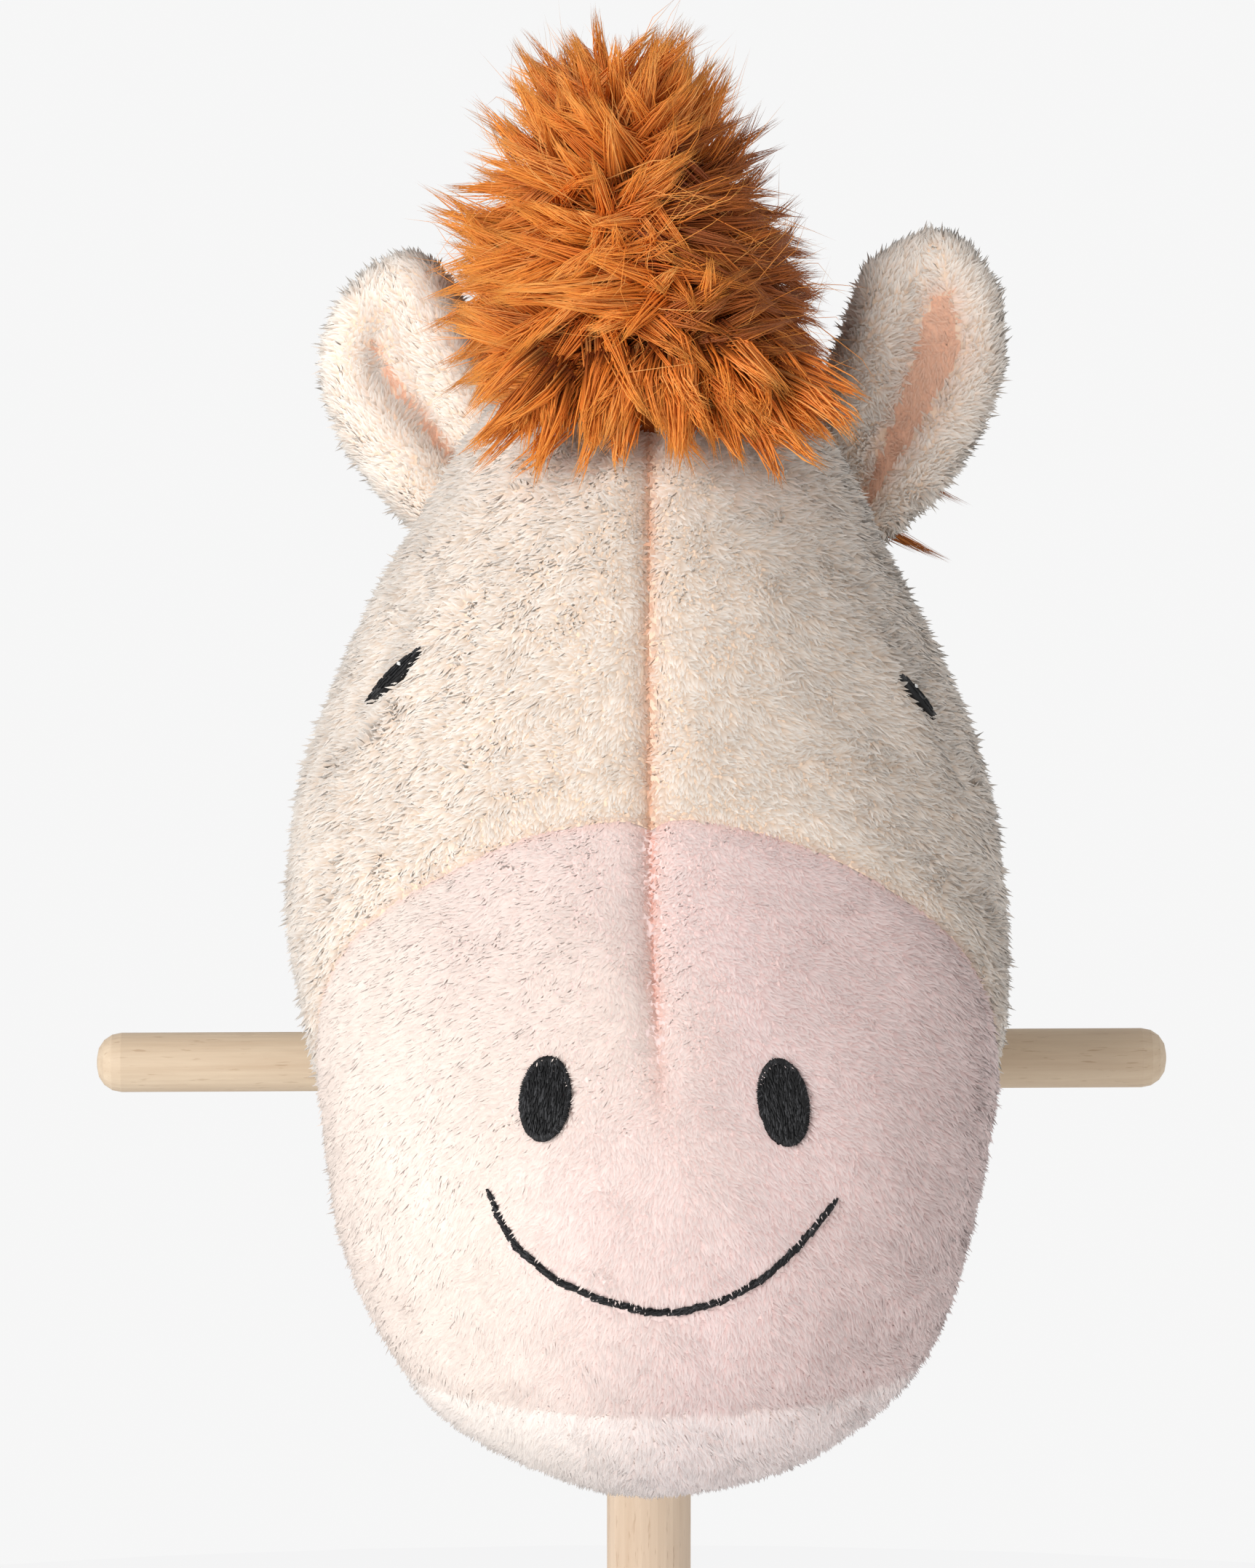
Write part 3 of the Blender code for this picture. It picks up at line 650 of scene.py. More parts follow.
def pile_tree():
    """Geometry nodes that stand tufts of pile all over a cloth and draw their tips into clumps."""
    kit, asked = new_tree("pile", {
        "Cloth": "Geometry", "Tuft": "Object", "Spacing": "Float", "Density": "Float", "Length": "Float",
        "Thickness": "Float", "Clump Spacing": "Float", "Clump Strength": "Float", "Clump Lean": "Float",
        "Unevenness": "Float", "Seed": "Int", "Finish": "Material",
    }, "Pile")
    seed = asked["Seed"]

    def scattered(spacing, density, share, seed):
        return kit.node("GeometryNodeDistributePointsOnFaces", {
            "Mesh": asked["Cloth"], "Distance Min": spacing, "Density Max": density, "Density Factor": share,
            "Seed": seed,
        }, distribute_method="POISSON")

    spots = scattered(asked["Spacing"], asked["Density"], kit.named("thick"), seed)
    normal = Wire(kit, spots.socket.node.outputs["Normal"])
    spots = kit.kept(spots, "facing", normal, "FLOAT_VECTOR")
    centres = scattered(asked["Clump Spacing"], 400000.0, 1.0, seed + 5)

    facing = kit.named("facing", "FLOAT_VECTOR")
    lean = kit.vector("ADD", facing, kit.named("comb", "FLOAT_VECTOR"))
    lean = kit.vector("ADD", lean, kit.vector("SCALE", kit.any_way(seed + 11), scale=asked["Unevenness"]))
    clump = kit.node("GeometryNodeSampleNearest", {"Geometry": centres})
    sway = kit.any_way(seed + 29, clump)
    upright = kit.vector("DOT_PRODUCT", sway, facing, output=1)
    sway = kit.vector("SUBTRACT", sway, kit.vector("SCALE", facing, scale=upright))
    lean = kit.vector("ADD", lean, kit.vector("SCALE", sway, scale=asked["Clump Lean"]))
    turn = kit.node("FunctionNodeAlignRotationToVector", {"Vector": lean}, axis="Z")
    spin = kit.node("FunctionNodeRotateRotation", {
        "Rotation": turn,
        "Rotate By": kit.node("FunctionNodeAxisAngleToRotation", {"Angle": kit.chance(0.0, 6.28, seed + 13)}),
    }, rotation_space="LOCAL")
    tall = asked["Length"] * kit.named("tall") * kit.chance(0.72, 1.2, seed + 17)
    wide = asked["Thickness"] * kit.chance(0.75, 1.25, seed + 19)
    size = kit.node("ShaderNodeCombineXYZ", {0: wide, 1: wide, 2: tall})
    shape = kit.node("GeometryNodeObjectInfo", {"Object": asked["Tuft"]}, 4)
    tufts = kit.node("GeometryNodeInstanceOnPoints", {
        "Points": spots, "Instance": shape, "Rotation": spin, "Scale": size,
    })
    place = kit.node("GeometryNodeInputPosition")
    tufts = kit.kept(tufts, "root", place, "FLOAT_VECTOR", "INSTANCE")
    tufts = kit.kept(tufts, "tone", kit.chance(0.0, 1.0, seed + 23), "FLOAT", "INSTANCE")
    solid = kit.node("GeometryNodeRealizeInstances", {"Geometry": tufts})

    base = kit.named("root", "FLOAT_VECTOR")
    nearest = kit.node("GeometryNodeSampleNearest", {"Geometry": centres, "Sample Position": base})
    middle = kit.node(
        "GeometryNodeSampleIndex", {"Geometry": centres, "Value": place, "Index": nearest}, data_type="FLOAT_VECTOR",
    )
    along = kit.named("along")
    draw = kit.vector("SCALE", kit.vector("SUBTRACT", middle, base), scale=along * along * asked["Clump Strength"])
    pile = kit.node("GeometryNodeSetPosition", {"Geometry": solid, "Offset": draw})
    pile = kit.kept(pile, "tone", kit.named("tone") * 0.5 + kit.chance(0.0, 1.0, 3, nearest) * 0.5)
    return end_tree(kit, pile, asked["Finish"])


def spread_map(mesh, corners, layout):
    """Gives each repeated shape its own cell of a UV map; layout is one shape's corners."""
    count = len(mesh.loops) // corners
    grid = math.ceil(math.sqrt(count))
    cells = np.stack([np.arange(count) % grid, np.arange(count) // grid], 1) + 0.06
    uv = (cells[:, None, :] + np.asarray(layout)[None] * 0.88) / grid
    layer = mesh.uv_layers.new(name="OFBake")
    layer.data.foreach_set("uv", uv.astype(np.float32).ravel())


def tuft_layout():
    layout = []
    for i in range(TUFT_SIDES):
        low, high = i / TUFT_SIDES, (i + 1) / TUFT_SIDES
        layout += [(low, 0.1), (high, 0.1), ((low + high) / 2, 1)]
    return layout + [(0, 0), (1, 0), (0.5, 0.08)]


def run_tree(thing, tree, values):
    """Runs a tree of geometry nodes on a piece and returns the result as a plain mesh."""
    nodes = thing.modifiers.new("nodes", "NODES")
    nodes.node_group = tree
    for item in tree.interface.items_tree:
        if item.item_type == "SOCKET" and item.in_out == "INPUT" and item.name in values:
            nodes[item.identifier] = values[item.name]
    mesh = evaluated(thing)
    thing.modifiers.remove(nodes)
    return mesh


# Kinds of pile: what each value is, and the values
PILE_VALUES = ("Spacing", "Length", "Thickness", "Clump Spacing", "Clump Strength", "Clump Lean", "Unevenness")
CREAM_PILE = (0.00056, 0.0026, 0.00130, 0.0042, 0.24, 0.35, 0.42)
CREAM_TUFTS = (0.0015, 0.0038, 0.0016, 0.0050, 0.16, 0.5, 0.42)
PINK_PILE = (0.00048, 0.0023, 0.00112, 0.0032, 0.22, 0.35, 0.42)
PINK_TUFTS = (0.0017, 0.0033, 0.0010, 0.0060, 0.10, 0.5, 0.42)
CHIN_PILE = (0.00052, 0.0024, 0.00118, 0.0032, 0.22, 0.35, 0.42)
EAR_PILE = (0.00060, 0.0026, 0.00128, 0.0036, 0.22, 0.4, 0.3)
EAR_TUFTS = (0.0014, 0.0040, 0.0011, 0.0060, 0.12, 0.6, 0.5)
LINING_PILE = (0.00060, 0.0022, 0.00078, 0.0030, 0.2, 0.4, 0.3)
NECK_PILE = (0.00068, 0.0030, 0.00115, 0.0038, 0.25, 0.4, 0.3)
TUFTS_A_SPACE = 1.6


def pile_piece(name, skin, material, slot, values, seed, *nodes):
    """Covers a skin in pile, as one piece that rides with the rest."""
    mesh = run_tree(skin, pile_nodes, {
        **dict(zip(PILE_VALUES, values)), "Tuft": tuft, "Density": TUFTS_A_SPACE / values[0] ** 2, "Seed": seed,
        "Finish": material,
    })
    mesh.name = name
    spread_map(mesh, TUFT_CORNERS, tuft_layout())
    for layer in [l.name for l in mesh.uv_layers if l.name != "OFBake"]:
        mesh.uv_layers.remove(mesh.uv_layers[layer])
    mesh.shade_smooth()
    soften(mesh, 0.9)
    for layer in ("comb", "thick", "tall", "root"):
        mesh.attributes.remove(mesh.attributes[layer])
    piece = link(bpy.data.objects.new(name, mesh))
    piece.visible_shadow = False  # light passes through thin pile, and the cloth under it casts the shadow
    belong(piece, slot, *nodes)


def soften(mesh, share):
    """Turns the shading of each tuft towards the cloth that it stands on, as light in real pile does."""
    flat = np.empty(len(mesh.vertices) * 3, np.float32)
    mesh.attributes["facing"].data.foreach_get("vector", flat)
    mixed = normals(mesh) * (1 - share) + flat.reshape(-1, 3) * share
    mixed /= np.maximum(np.linalg.norm(mixed, axis=1, keepdims=True), 1e-6)
    mesh.normals_split_custom_set_from_vertices(mixed.tolist())
    mesh.attributes.remove(mesh.attributes["facing"])


tuft = tuft_mesh("pile_tuft")
pile_nodes = pile_tree()

# Each pile's first colour is painted shade at the roots, its third painted light at the tips, and its fourth painted
# shade in the seams (a peach tint on the ears)
cream_pile = pile_finish("cream_pile", (221, 201, 183), (234, 219, 205), (243, 236, 228), (222, 176, 148), 0.12)
# The ears' pile is a paler copy of the face's cream pile: painted light
ear_pile_lit = pile_finish("ear_pile_lit", (246, 224, 206), (250, 238, 226), (254, 247, 239), (246, 196, 170), 0.03)
cream_tufts = pile_finish("cream_tufts", (216, 195, 176), (236, 222, 209), (250, 244, 237), (222, 176, 148), 0.10)
cream_cloth = cloth_finish("cream_ground", (249, 226, 204), (245, 218, 194))
# The muzzle's pile turns paler on its lit left side: painted light
pink_pile = pile_finish(
    "pink_pile", (226, 196, 192), (236, 213, 209), (241, 224, 221), (228, 172, 156), 0.06, lit_side_colour=(242, 228, 217),
)
pink_cloth = cloth_finish("pink_ground", (249, 228, 223), (246, 220, 215))
# The chin's pile is paler than the muzzle's: painted light thrown up from the floor
chin_pile = pile_finish(
    "chin_pile", (249, 228, 223), (252, 236, 232), (255, 244, 242), (240, 206, 194), 0.03, lit_side_colour=(252, 242, 233),
)
peach_pile = pile_finish("peach_pile", (244, 196, 168), (248, 208, 184), (251, 220, 200), (240, 184, 156), 0.04)
peach_cloth = cloth_finish("peach_ground", (247, 204, 178), (240, 192, 164))
mane_fur = mane_finish()
# Each thread's second colour is its painted highlight
black_thread = thread_finish("black_stitching", (10, 10, 12), (62, 62, 64), 0.5)
white_thread = thread_finish("white_stitching", (225, 225, 222), (250, 250, 248), 0.5)
chin_cloth = cloth_finish("chin_ground", (240, 226, 218), (226, 206, 196))
# The mane's backing, dark brown as painted shade between the locks
mane_backing_shade = cloth_finish("mane_backing_shade", (158, 78, 24), (112, 50, 14), 0.0)
cord_cotton = cloth_finish("cord_cotton", (226, 216, 198), (196, 182, 160))
screw_steel = steel_finish("screw_zinc")
stick_wood = wood_finish("stick_dowel", (218, 196, 173), (200, 175, 150), (0, 0, 0), 0.31)
handle_wood = wood_finish("handle_dowel", (219, 199, 173), (201, 177, 150), (0, math.radians(90), 0), 0.77)


# Camera

PHOTO_WIDE, PHOTO_HIGH = 1725, 2156
PIXELS_A_MM = 5.875  # at the stick
DISTANCE = 1.8
FOCAL_PIXELS = PIXELS_A_MM * DISTANCE * 1000
SENSOR = 36
ELEVATION, AZIMUTH = math.radians(12), math.radians(1.1)
MIDDLE_ACROSS, MIDDLE_UP = -0.0051, 0.0651  # the photograph's middle, from the handle's on the stick
aim = Vector((MIDDLE_ACROSS, 0, HANDLE + MIDDLE_UP / math.cos(ELEVATION)))
camera_data = bpy.data.cameras.new("camera")
camera = link(bpy.data.objects.new("camera", camera_data))
camera_data.sensor_fit = "HORIZONTAL"
camera_data.sensor_width = SENSOR
camera_data.lens = SENSOR * FOCAL_PIXELS / PHOTO_WIDE
camera_data.clip_end = 20
camera_back = Vector((
    -math.sin(AZIMUTH) * math.cos(ELEVATION), -math.cos(AZIMUTH) * math.cos(ELEVATION), math.sin(ELEVATION),
))
camera_right = Vector((math.cos(AZIMUTH), -math.sin(AZIMUTH), 0))
camera_up = camera_back.cross(camera_right)
camera_place = aim + camera_back * DISTANCE
camera.location = camera_place
camera.rotation_euler = camera_back.to_track_quat("Z", "Y").to_euler()
bpy.context.scene.camera = camera
bpy.context.scene.view_settings.view_transform = "Standard"


def pixel_of(points):
    """Where the camera sees each point, in pixels of the photograph."""
    away = points - np.array(camera_place)
    depth = -away @ np.array(camera_back)
    across, upwards = away @ np.array(camera_right), away @ np.array(camera_up)
    return PHOTO_WIDE / 2 + across / depth * FOCAL_PIXELS, PHOTO_HIGH / 2 - upwards / depth * FOCAL_PIXELS


def sight(surface, px, py):
    """Where the camera's line through a pixel of the photograph meets a surface."""
    across, upwards = (px - PHOTO_WIDE / 2) / FOCAL_PIXELS, (PHOTO_HIGH / 2 - py) / FOCAL_PIXELS
    way = -camera_back + camera_right * across + camera_up * upwards
    way.normalize()
    spot, facing, _, _ = surface.ray_cast(camera_place, way)
    return (np.array(spot), np.array(facing)) if spot else (None, None)


# Stitched ovals as the camera sees them: middle, half width and half length in pixels of the
# photograph, lean, and how far the ends narrow to a point
NOSTRIL_LEFT = (750, 1512, 34, 58, math.radians(-8), 0)
NOSTRIL_RIGHT = (1076, 1517, 33.5, 60, math.radians(9), 0)
EYE_LEFT = (541, 930, 8.6, 54, math.radians(-44), 0.66)
EYE_RIGHT = (1262, 958, 4.2, 39, math.radians(38), 0.60)
SMILE = [
    (674, 1641), (686, 1675), (711, 1716), (765, 1761), (826, 1787), (890, 1804), (936, 1804), (997, 1787),
    (1051, 1757), (1097, 1714), (1133, 1671), (1147, 1654),
]


def oval_pixel(spec, u, v):
    """The pixel at u across and v along a stitched oval."""
    cx, cy, half_wide, half_long, lean, pointed = spec
    x, y = u * half_wide * (1 - pointed * v * v), v * half_long
    return cx + x * math.cos(lean) - y * math.sin(lean), cy - x * math.sin(lean) - y * math.cos(lean)


def oval_share(spec, points):
    """0 at the middle of a stitched oval and 1 at its edge, for each point."""
    cx, cy, half_wide, half_long, lean, pointed = spec
    px, py = pixel_of(points)
    x = (px - cx) * math.cos(lean) - (py - cy) * math.sin(lean)
    y = -(px - cx) * math.sin(lean) - (py - cy) * math.cos(lean)
    v = np.clip(y / half_long, -1, 1)
    return np.hypot(x / half_wide / (1 - pointed * v * v), y / half_long)


def above_smile(points):
    """How many pixels each point lies above the stitched smile, and 99 beside it."""
    across, down = pixel_of(points)
    wide, high = np.array(SMILE, float).T
    beside = (across < wide[0] - 8) | (across > wide[-1] + 8)
    return np.where(beside, 99.0, np.interp(across, wide, high) - down)


def lean_over(points):
    """The sewn head sits a touch to the left of the stick above the muzzle."""
    height = points[:, 2] - HANDLE
    moved = points.copy()
    moved[:, 0] -= 0.0019 * smoothstep(height, 0.01, 0.06) * (1 - 0.4 * smoothstep(height, 0.11, 0.15))
    return moved


def dress_skin(skin, comb, thick, tall, seam=None):
    mesh = skin.data
    # seam is the share of painted shade along the seams, and on the ears the share of peach tint
    give(mesh, "seam", np.zeros(len(thick)) if seam is None else seam)
    give(mesh, "comb", comb, "FLOAT_VECTOR")
    give(mesh, "thick", thick)
    give(mesh, "tall", tall)


def wave(points, scale, seed):
    """Slow smooth noise from a few sine waves."""
    rng = np.random.default_rng(seed)
    total = np.zeros(len(points))
    for _ in range(6):
        direction = rng.normal(size=3)
        direction /= np.linalg.norm(direction)
        total += np.sin(points @ direction * 2 * np.pi / scale * rng.uniform(0.7, 1.5) + rng.uniform(0, 6.28))
    return total / 3


def combed(points, facing, *ways):
    """The way that pile is combed along a cloth: a base and waves (size, length, seed) each for x, y and z."""
    flow = np.stack([base + size * wave(points, length, seed) for base, size, length, seed in ways], 1)
    return flow - facing * (flow * facing).sum(1, keepdims=True)


def cream_comb(points, facing):
    side = np.tanh(points[:, 0] / 0.02)
    return combed(points, facing, (0.40 * side, 0.60, 0.016, 3), (-0.10, 0.20, 0.024, 4), (-0.90, 0.60, 0.018, 5))


def pink_comb(points, facing):
    side = np.tanh(points[:, 0] / 0.03)
    return combed(points, facing, (0.80 * side, 0.50, 0.014, 13), (0, 0.20, 0.03, 14), (-1.30, 0.60, 0.014, 15))


# Where the panels are cut from the head: a point of each cut and the side of it that stays
GAP = 0.00005
left_side = ((-GAP, 0, HANDLE), (-1, 0, 0))
right_side = ((GAP, 0, HANDLE), (1, 0, 0))
behind_seam = (seam_point - to_muzzle * GAP, -to_muzzle)
before_seam = (seam_point + to_muzzle * GAP, to_muzzle)
above_chin = (chin_point - to_chin * GAP, -to_chin)
below_chin = (chin_point + to_chin * GAP, to_chin)
CUTS = {
    "face_left": [left_side, behind_seam, above_chin],
    "face_right": [right_side, behind_seam, above_chin],
    "muzzle": [before_seam, above_chin],
    "muzzle_left": [left_side, before_seam, above_chin],
    "muzzle_right": [right_side, before_seam, above_chin],
    "chin": [below_chin],
}
COVERS = [
    ("face_left", ["face_panel_left", "head_stuffing"], cream_cloth, "cream_plush"),
    ("face_right", ["face_panel_right"], cream_cloth, "cream_plush"),
    ("muzzle", ["muzzle_panel"], pink_cloth, "pink_plush"),
    ("chin", ["chin_panel"], chin_cloth, "chin_plush"),
]
PILES = [
    ("face_left", "", cream_pile, "cream_plush", CREAM_PILE, cream_comb, 21),
    ("face_right", "", cream_pile, "cream_plush", CREAM_PILE, cream_comb, 22),
    ("muzzle_left", "", pink_pile, "pink_plush", PINK_PILE, pink_comb, 23),
    ("muzzle_right", "", pink_pile, "pink_plush", PINK_PILE, pink_comb, 24),
    ("face_left", "_tufts", cream_tufts, "cream_plush", CREAM_TUFTS, cream_comb, 27),
    ("face_right", "_tufts", cream_tufts, "cream_plush", CREAM_TUFTS, cream_comb, 28),
    ("muzzle", "_tufts", pink_pile, "pink_plush", PINK_TUFTS, pink_comb, 29),
    ("chin", "", chin_pile, "chin_plush", CHIN_PILE, pink_comb, 25),
]


def inside(shape, point):
    """Whether a point lies inside a closed form."""
    spot, facing, _, _ = shape.find_nearest(Vector(point))
    return (Vector(point) - spot).dot(facing) < -0.0005


def finish_soft(body, ground, slot, nodes):
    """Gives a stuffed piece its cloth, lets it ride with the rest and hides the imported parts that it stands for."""
    body.data.materials.clear()
    body.data.materials.append(ground)
    body.data.shade_smooth()
    belong(body, slot, *nodes)


# Head

head = oval_body("head_body", head_rows(), inset=0.0044, rings=60, sides=72)
remeshed(head, 0.005)
relaxed(head, 3)
points = coordinates(head.data)
muzzle, chin, middle, runs = seam_pull(points)
HELD = 0.004  # how far from a seam the cloth is held down
hold = np.maximum.reduce([
    np.exp(-(muzzle / HELD) ** 2), np.exp(-(chin / HELD) ** 2), np.exp(-(middle / HELD) ** 2) * runs,
])
puffed(head, hold, pressure=15.0, cap=0.006)
finer(head)
relaxed(head, 2)
points = coordinates(head.data)
muzzle, chin, middle, runs = seam_pull(points)
groove = (
    0.0010 * np.exp(-(muzzle / 0.0035) ** 2)
    + 0.0003 * np.exp(-(chin / 0.0035) ** 2)
    + 0.0008 * runs * np.exp(-(middle / 0.0060) ** 2)
    + 0.0015 * runs * np.exp(-(middle / 0.0024) ** 2)
    + 0.0006 * wave(points, 0.045, 2)
)
points -= normals(head.data) * groove[:, None]
set_coordinates(head.data, points)


def raised(mesh, heights):
    """The cloth raised by a height at each point, to find places on it."""
    up = lean_over(coordinates(mesh) + normals(mesh) * np.reshape(heights, (-1, 1)))
    return BVHTree.FromPolygons([tuple(p) for p in up], [tuple(p.vertices) for p in mesh.polygons])


# The tight stitches of an eye turn the cloth under it towards the side
bare = raised(head.data, np.zeros(len(points)))
for cx, cy, *_ in (EYE_LEFT, EYE_RIGHT):
    spot, out = sight(bare, cx, cy)
    behind = np.array([-out[1], out[0], 0]) * (1 if out[0] > 0 else -1)
    away = lean_over(points) - spot
    along = away @ behind / np.linalg.norm(behind) / 0.0065
    near = np.exp(-along ** 2 / 2 - (away[:, 2] / 0.010) ** 2 / 2 - (away @ out / 0.010) ** 2 / 2)
    points -= out * (0.0024 * along * near)[:, None]
set_coordinates(head.data, points)
muzzle, chin, middle, runs = seam_pull(points)
in_pink = smoothstep(muzzle, -0.001, 0.001)
pile_top = raised(head.data, 0.0015 - 0.0007 * in_pink)
head_shape = raised(head.data, np.zeros(len(points)))

for name, nodes, ground, slot in COVERS:
    body = cut_away(head, name + "_cover", CUTS[name], True)
    set_coordinates(body.data, lean_over(coordinates(body.data)))
    finish_soft(body, ground, slot, nodes)

# The smile lies bare: pixels of the photograph below it and above it that have no pile or no tufts
BARE_BELOW, BARE_OF_PILE, BARE_OF_TUFTS = 7, 9, 24
for panel, kind, fur, slot, values, comb, seed in PILES:
    name = panel + kind
    skin = cut_away(head, name + "_skin", CUTS[panel], False)
    mesh = skin.data
    points = coordinates(mesh)
    muzzle, chin, middle, runs = seam_pull(points)
    near = np.minimum.reduce([np.abs(muzzle), np.abs(chin), np.where(runs > 0.4, middle, 1.0)])
    thick = 0.5 + 0.5 * smoothstep(near, 0.0, 0.0005)
    for spec in (NOSTRIL_LEFT, NOSTRIL_RIGHT, EYE_LEFT, EYE_RIGHT):
        in_front = np.where(normals(mesh)[:, 1] < 0.3, 1.0, 0.0)
        thick *= 1 - in_front * (1 - smoothstep(oval_share(spec, lean_over(points)), 0.75, 1.05))
    if panel.startswith("muzzle"):
        above = above_smile(lean_over(points))
        thick[(above > -BARE_BELOW) & (above < (BARE_OF_TUFTS if kind else BARE_OF_PILE))] = 0.0
    tall = 0.6 + 0.4 * smoothstep(np.where(np.abs(chin) > near, near, 1.0), 0.0, 0.007)
    # Painted shade along the middle seam and the muzzle seam
    middle_seam_shade = runs * (0.7 * np.exp(-(middle / 0.0012) ** 2) + 0.3 * np.exp(-(middle / 0.0035) ** 2))
    seam = np.clip(middle_seam_shade + 0.3 * np.exp(-(muzzle / 0.0012) ** 2), 0, 1)
    dress_skin(skin, comb(points, normals(mesh)), thick, tall, seam)
    set_coordinates(mesh, lean_over(points))
    pile_piece(name + "_pile", skin, fur, slot, values, seed)
    drop(skin)
drop(head)


# Ears, each a roll of plush folded over a flap, from balls along its folds

def ball_body(name, chains, inset, size):
    bm = bmesh.new()
    for chain in chains:
        line = np.array(chain, float) / 1000
        for step in np.linspace(0, len(line) - 1, 12 * (len(line) - 1) + 1):
            x, y, z, r = between(line, step)
            place = Matrix.Translation((x, y, z))
            bmesh.ops.create_icosphere(bm, subdivisions=2, radius=r - inset, matrix=place)
    return relaxed(remeshed(from_bmesh(name, bm), size), 4)


# Each ear: chains of balls (x, y, z, radius), its lined fold from the front (x, z) and the fold's
# half widths, all in millimetres
EARS = {
    "left": (
        [
            [(-66, 3, 742, 7.5), (-69.5, 1, 735, 7), (-68.5, 0, 726, 8), (-62.5, 0, 716, 10), (-55, 0, 707, 11),
             (-47, 1, 698, 10.5), (-42, 3, 690, 8.5)],
            [(-62, 5, 745, 8.5), (-55, 4, 748, 9.5), (-50, 4, 739, 9.5), (-46, 4, 728, 10), (-39, 4, 716, 10),
             (-34, 4, 704, 9)],
            [(-60, 4, 738, 8), (-56, 4, 726, 8), (-49, 4, 712, 8.5), (-42, 4, 699, 9)],
            [(-62, 11, 737, 7.5), (-60, 11, 724, 8.5), (-52, 10, 710, 9), (-44, 8, 697, 9)],
            [(-52, 11, 741, 8), (-44, 11, 724, 9), (-38, 9, 706, 9)],
        ],
        [(-64, 736), (-58, 726), (-49.5, 714), (-40, 702)], (0.7, 1.3, 1.2, 1.0),
    ),
    "right": (
        [
            [(68, 3, 754, 8), (74, 2, 744, 8.6), (75.2, 1, 731, 8.3), (69.5, 1, 717, 8.8), (61.5, 1, 706, 9),
             (52, 2, 696, 8.5)],
            [(64, 5, 754, 8), (57, 5, 748, 9.5), (54.5, 4, 737, 10), (49, 4, 722, 9.5), (45, 4, 708, 9),
             (43, 4, 695, 9)],
            [(66, 4, 744, 7.5), (66, 4, 732, 8), (60, 4, 718, 8), (53, 4, 704, 8), (47, 4, 696, 8)],
            [(68, 11, 740, 8), (67, 11, 726, 8.5), (59, 10, 713, 9), (49, 8, 699, 9)],
            [(56, 12, 742, 8), (50, 11, 726, 9), (44, 9, 708, 9)],
        ],
        [(67.5, 746), (66.5, 735), (60.5, 720), (52.5, 704), (49, 697)], (2.6, 5.4, 3.8, 2.0, 1.2),
    ),
}


def fold_share(points, fold, widths):
    """Below 1 in the lined fold of an ear, seen from the front."""
    flat = points[:, [0, 2]] * 1000
    best = np.full(len(points), 9.0)
    fold = np.column_stack([np.array(fold, float), widths])
    for step in np.linspace(0, len(fold) - 1, 60):
        x, z, wide = between(fold, step)
        best = np.minimum(best, np.linalg.norm(flat - (x, z), axis=1) / wide)
    return best


def ear_comb(points, facing, seed):
    side = np.sign(points[:, 0])
    ways = (0.35 * side, 0.6, 0.018, seed), (0, 0.4, 0.02, seed + 1), (0.50, 0.6, 0.02, seed + 2)
    return combed(points, facing, *ways)


for side, (chains, fold, widths) in EARS.items():
    ear = ball_body("ear_" + side, chains, inset=0.0016, size=0.002)
    points = coordinates(ear.data)
    facing = normals(ear.data)
    share = fold_share(points, fold, widths)
    lined = (share < 1) & (facing[:, 1] < 0.35)
    keep_cream = np.where(lined, 0.0, 1.0)
    open_air = np.array([0.0 if inside(head_shape, p) else 1.0 for p in points])
    blush = np.exp(-(np.maximum(share - 0.8, 0) / 0.9) ** 2) * smoothstep(0.5 - facing[:, 1], 0, 0.5)
    comb = ear_comb(points, facing, 31 if side == "left" else 41)
    cream, peach = keep_cream * open_air, (1 - keep_cream) * open_air
    dress_skin(ear, comb, cream, np.ones(len(points)), blush * 0.35)
    for name, fur, slot, values, seed, thick, nodes in (
        (f"ear_{side}_pile", ear_pile_lit, "cream_plush", EAR_PILE, 31, cream, ()),
        (f"ear_lining_{side}_pile", peach_pile, "ear_lining_cloth", LINING_PILE, 33, peach, ["ear_lining_" + side]),
        (f"ear_{side}_tufts", cream_tufts, "cream_plush", EAR_TUFTS, 35, cream, ()),
    ):
        ear.data.attributes["thick"].data.foreach_set("value", thick.astype(np.float32))
        pile_piece(name, ear, fur, slot, values, seed, *nodes)
    finish_soft(ear, cream_cloth, "cream_plush", ["ear_back_" + side])
    ear.data.materials.append(peach_cloth)
    chosen = np.array([1 if lined[list(p.vertices)].mean() > 0.5 else 0 for p in ear.data.polygons], np.int32)
    ear.data.polygons.foreach_set("material_index", chosen)


# Neck, gathered in over the stick

# The gathered hem under the tie: height over the handle's axis and radius
HEM = [(0.0095, 0), (0.0102, 0.0185), (0.0128, 0.0165), (0.0150, 0.0142), (0.0175, 0.0160), (0.0215, 0.0200)]


def neck_rows():
    rows = [(HANDLE + height, 0, radius, radius) for height, radius in HEM]
    for share, front, behind, side in NECK:
        height = HANDLE + HEM_TOP + share * (NECK_TOP - HEM_TOP)
        rows.append(oval_row(height, -front * NECK_FRONT, behind * NECK_BACK, side * NECK_HALF))
    rows.append((HANDLE + NECK_TOP, 0.006, 0, 0))
    return rows


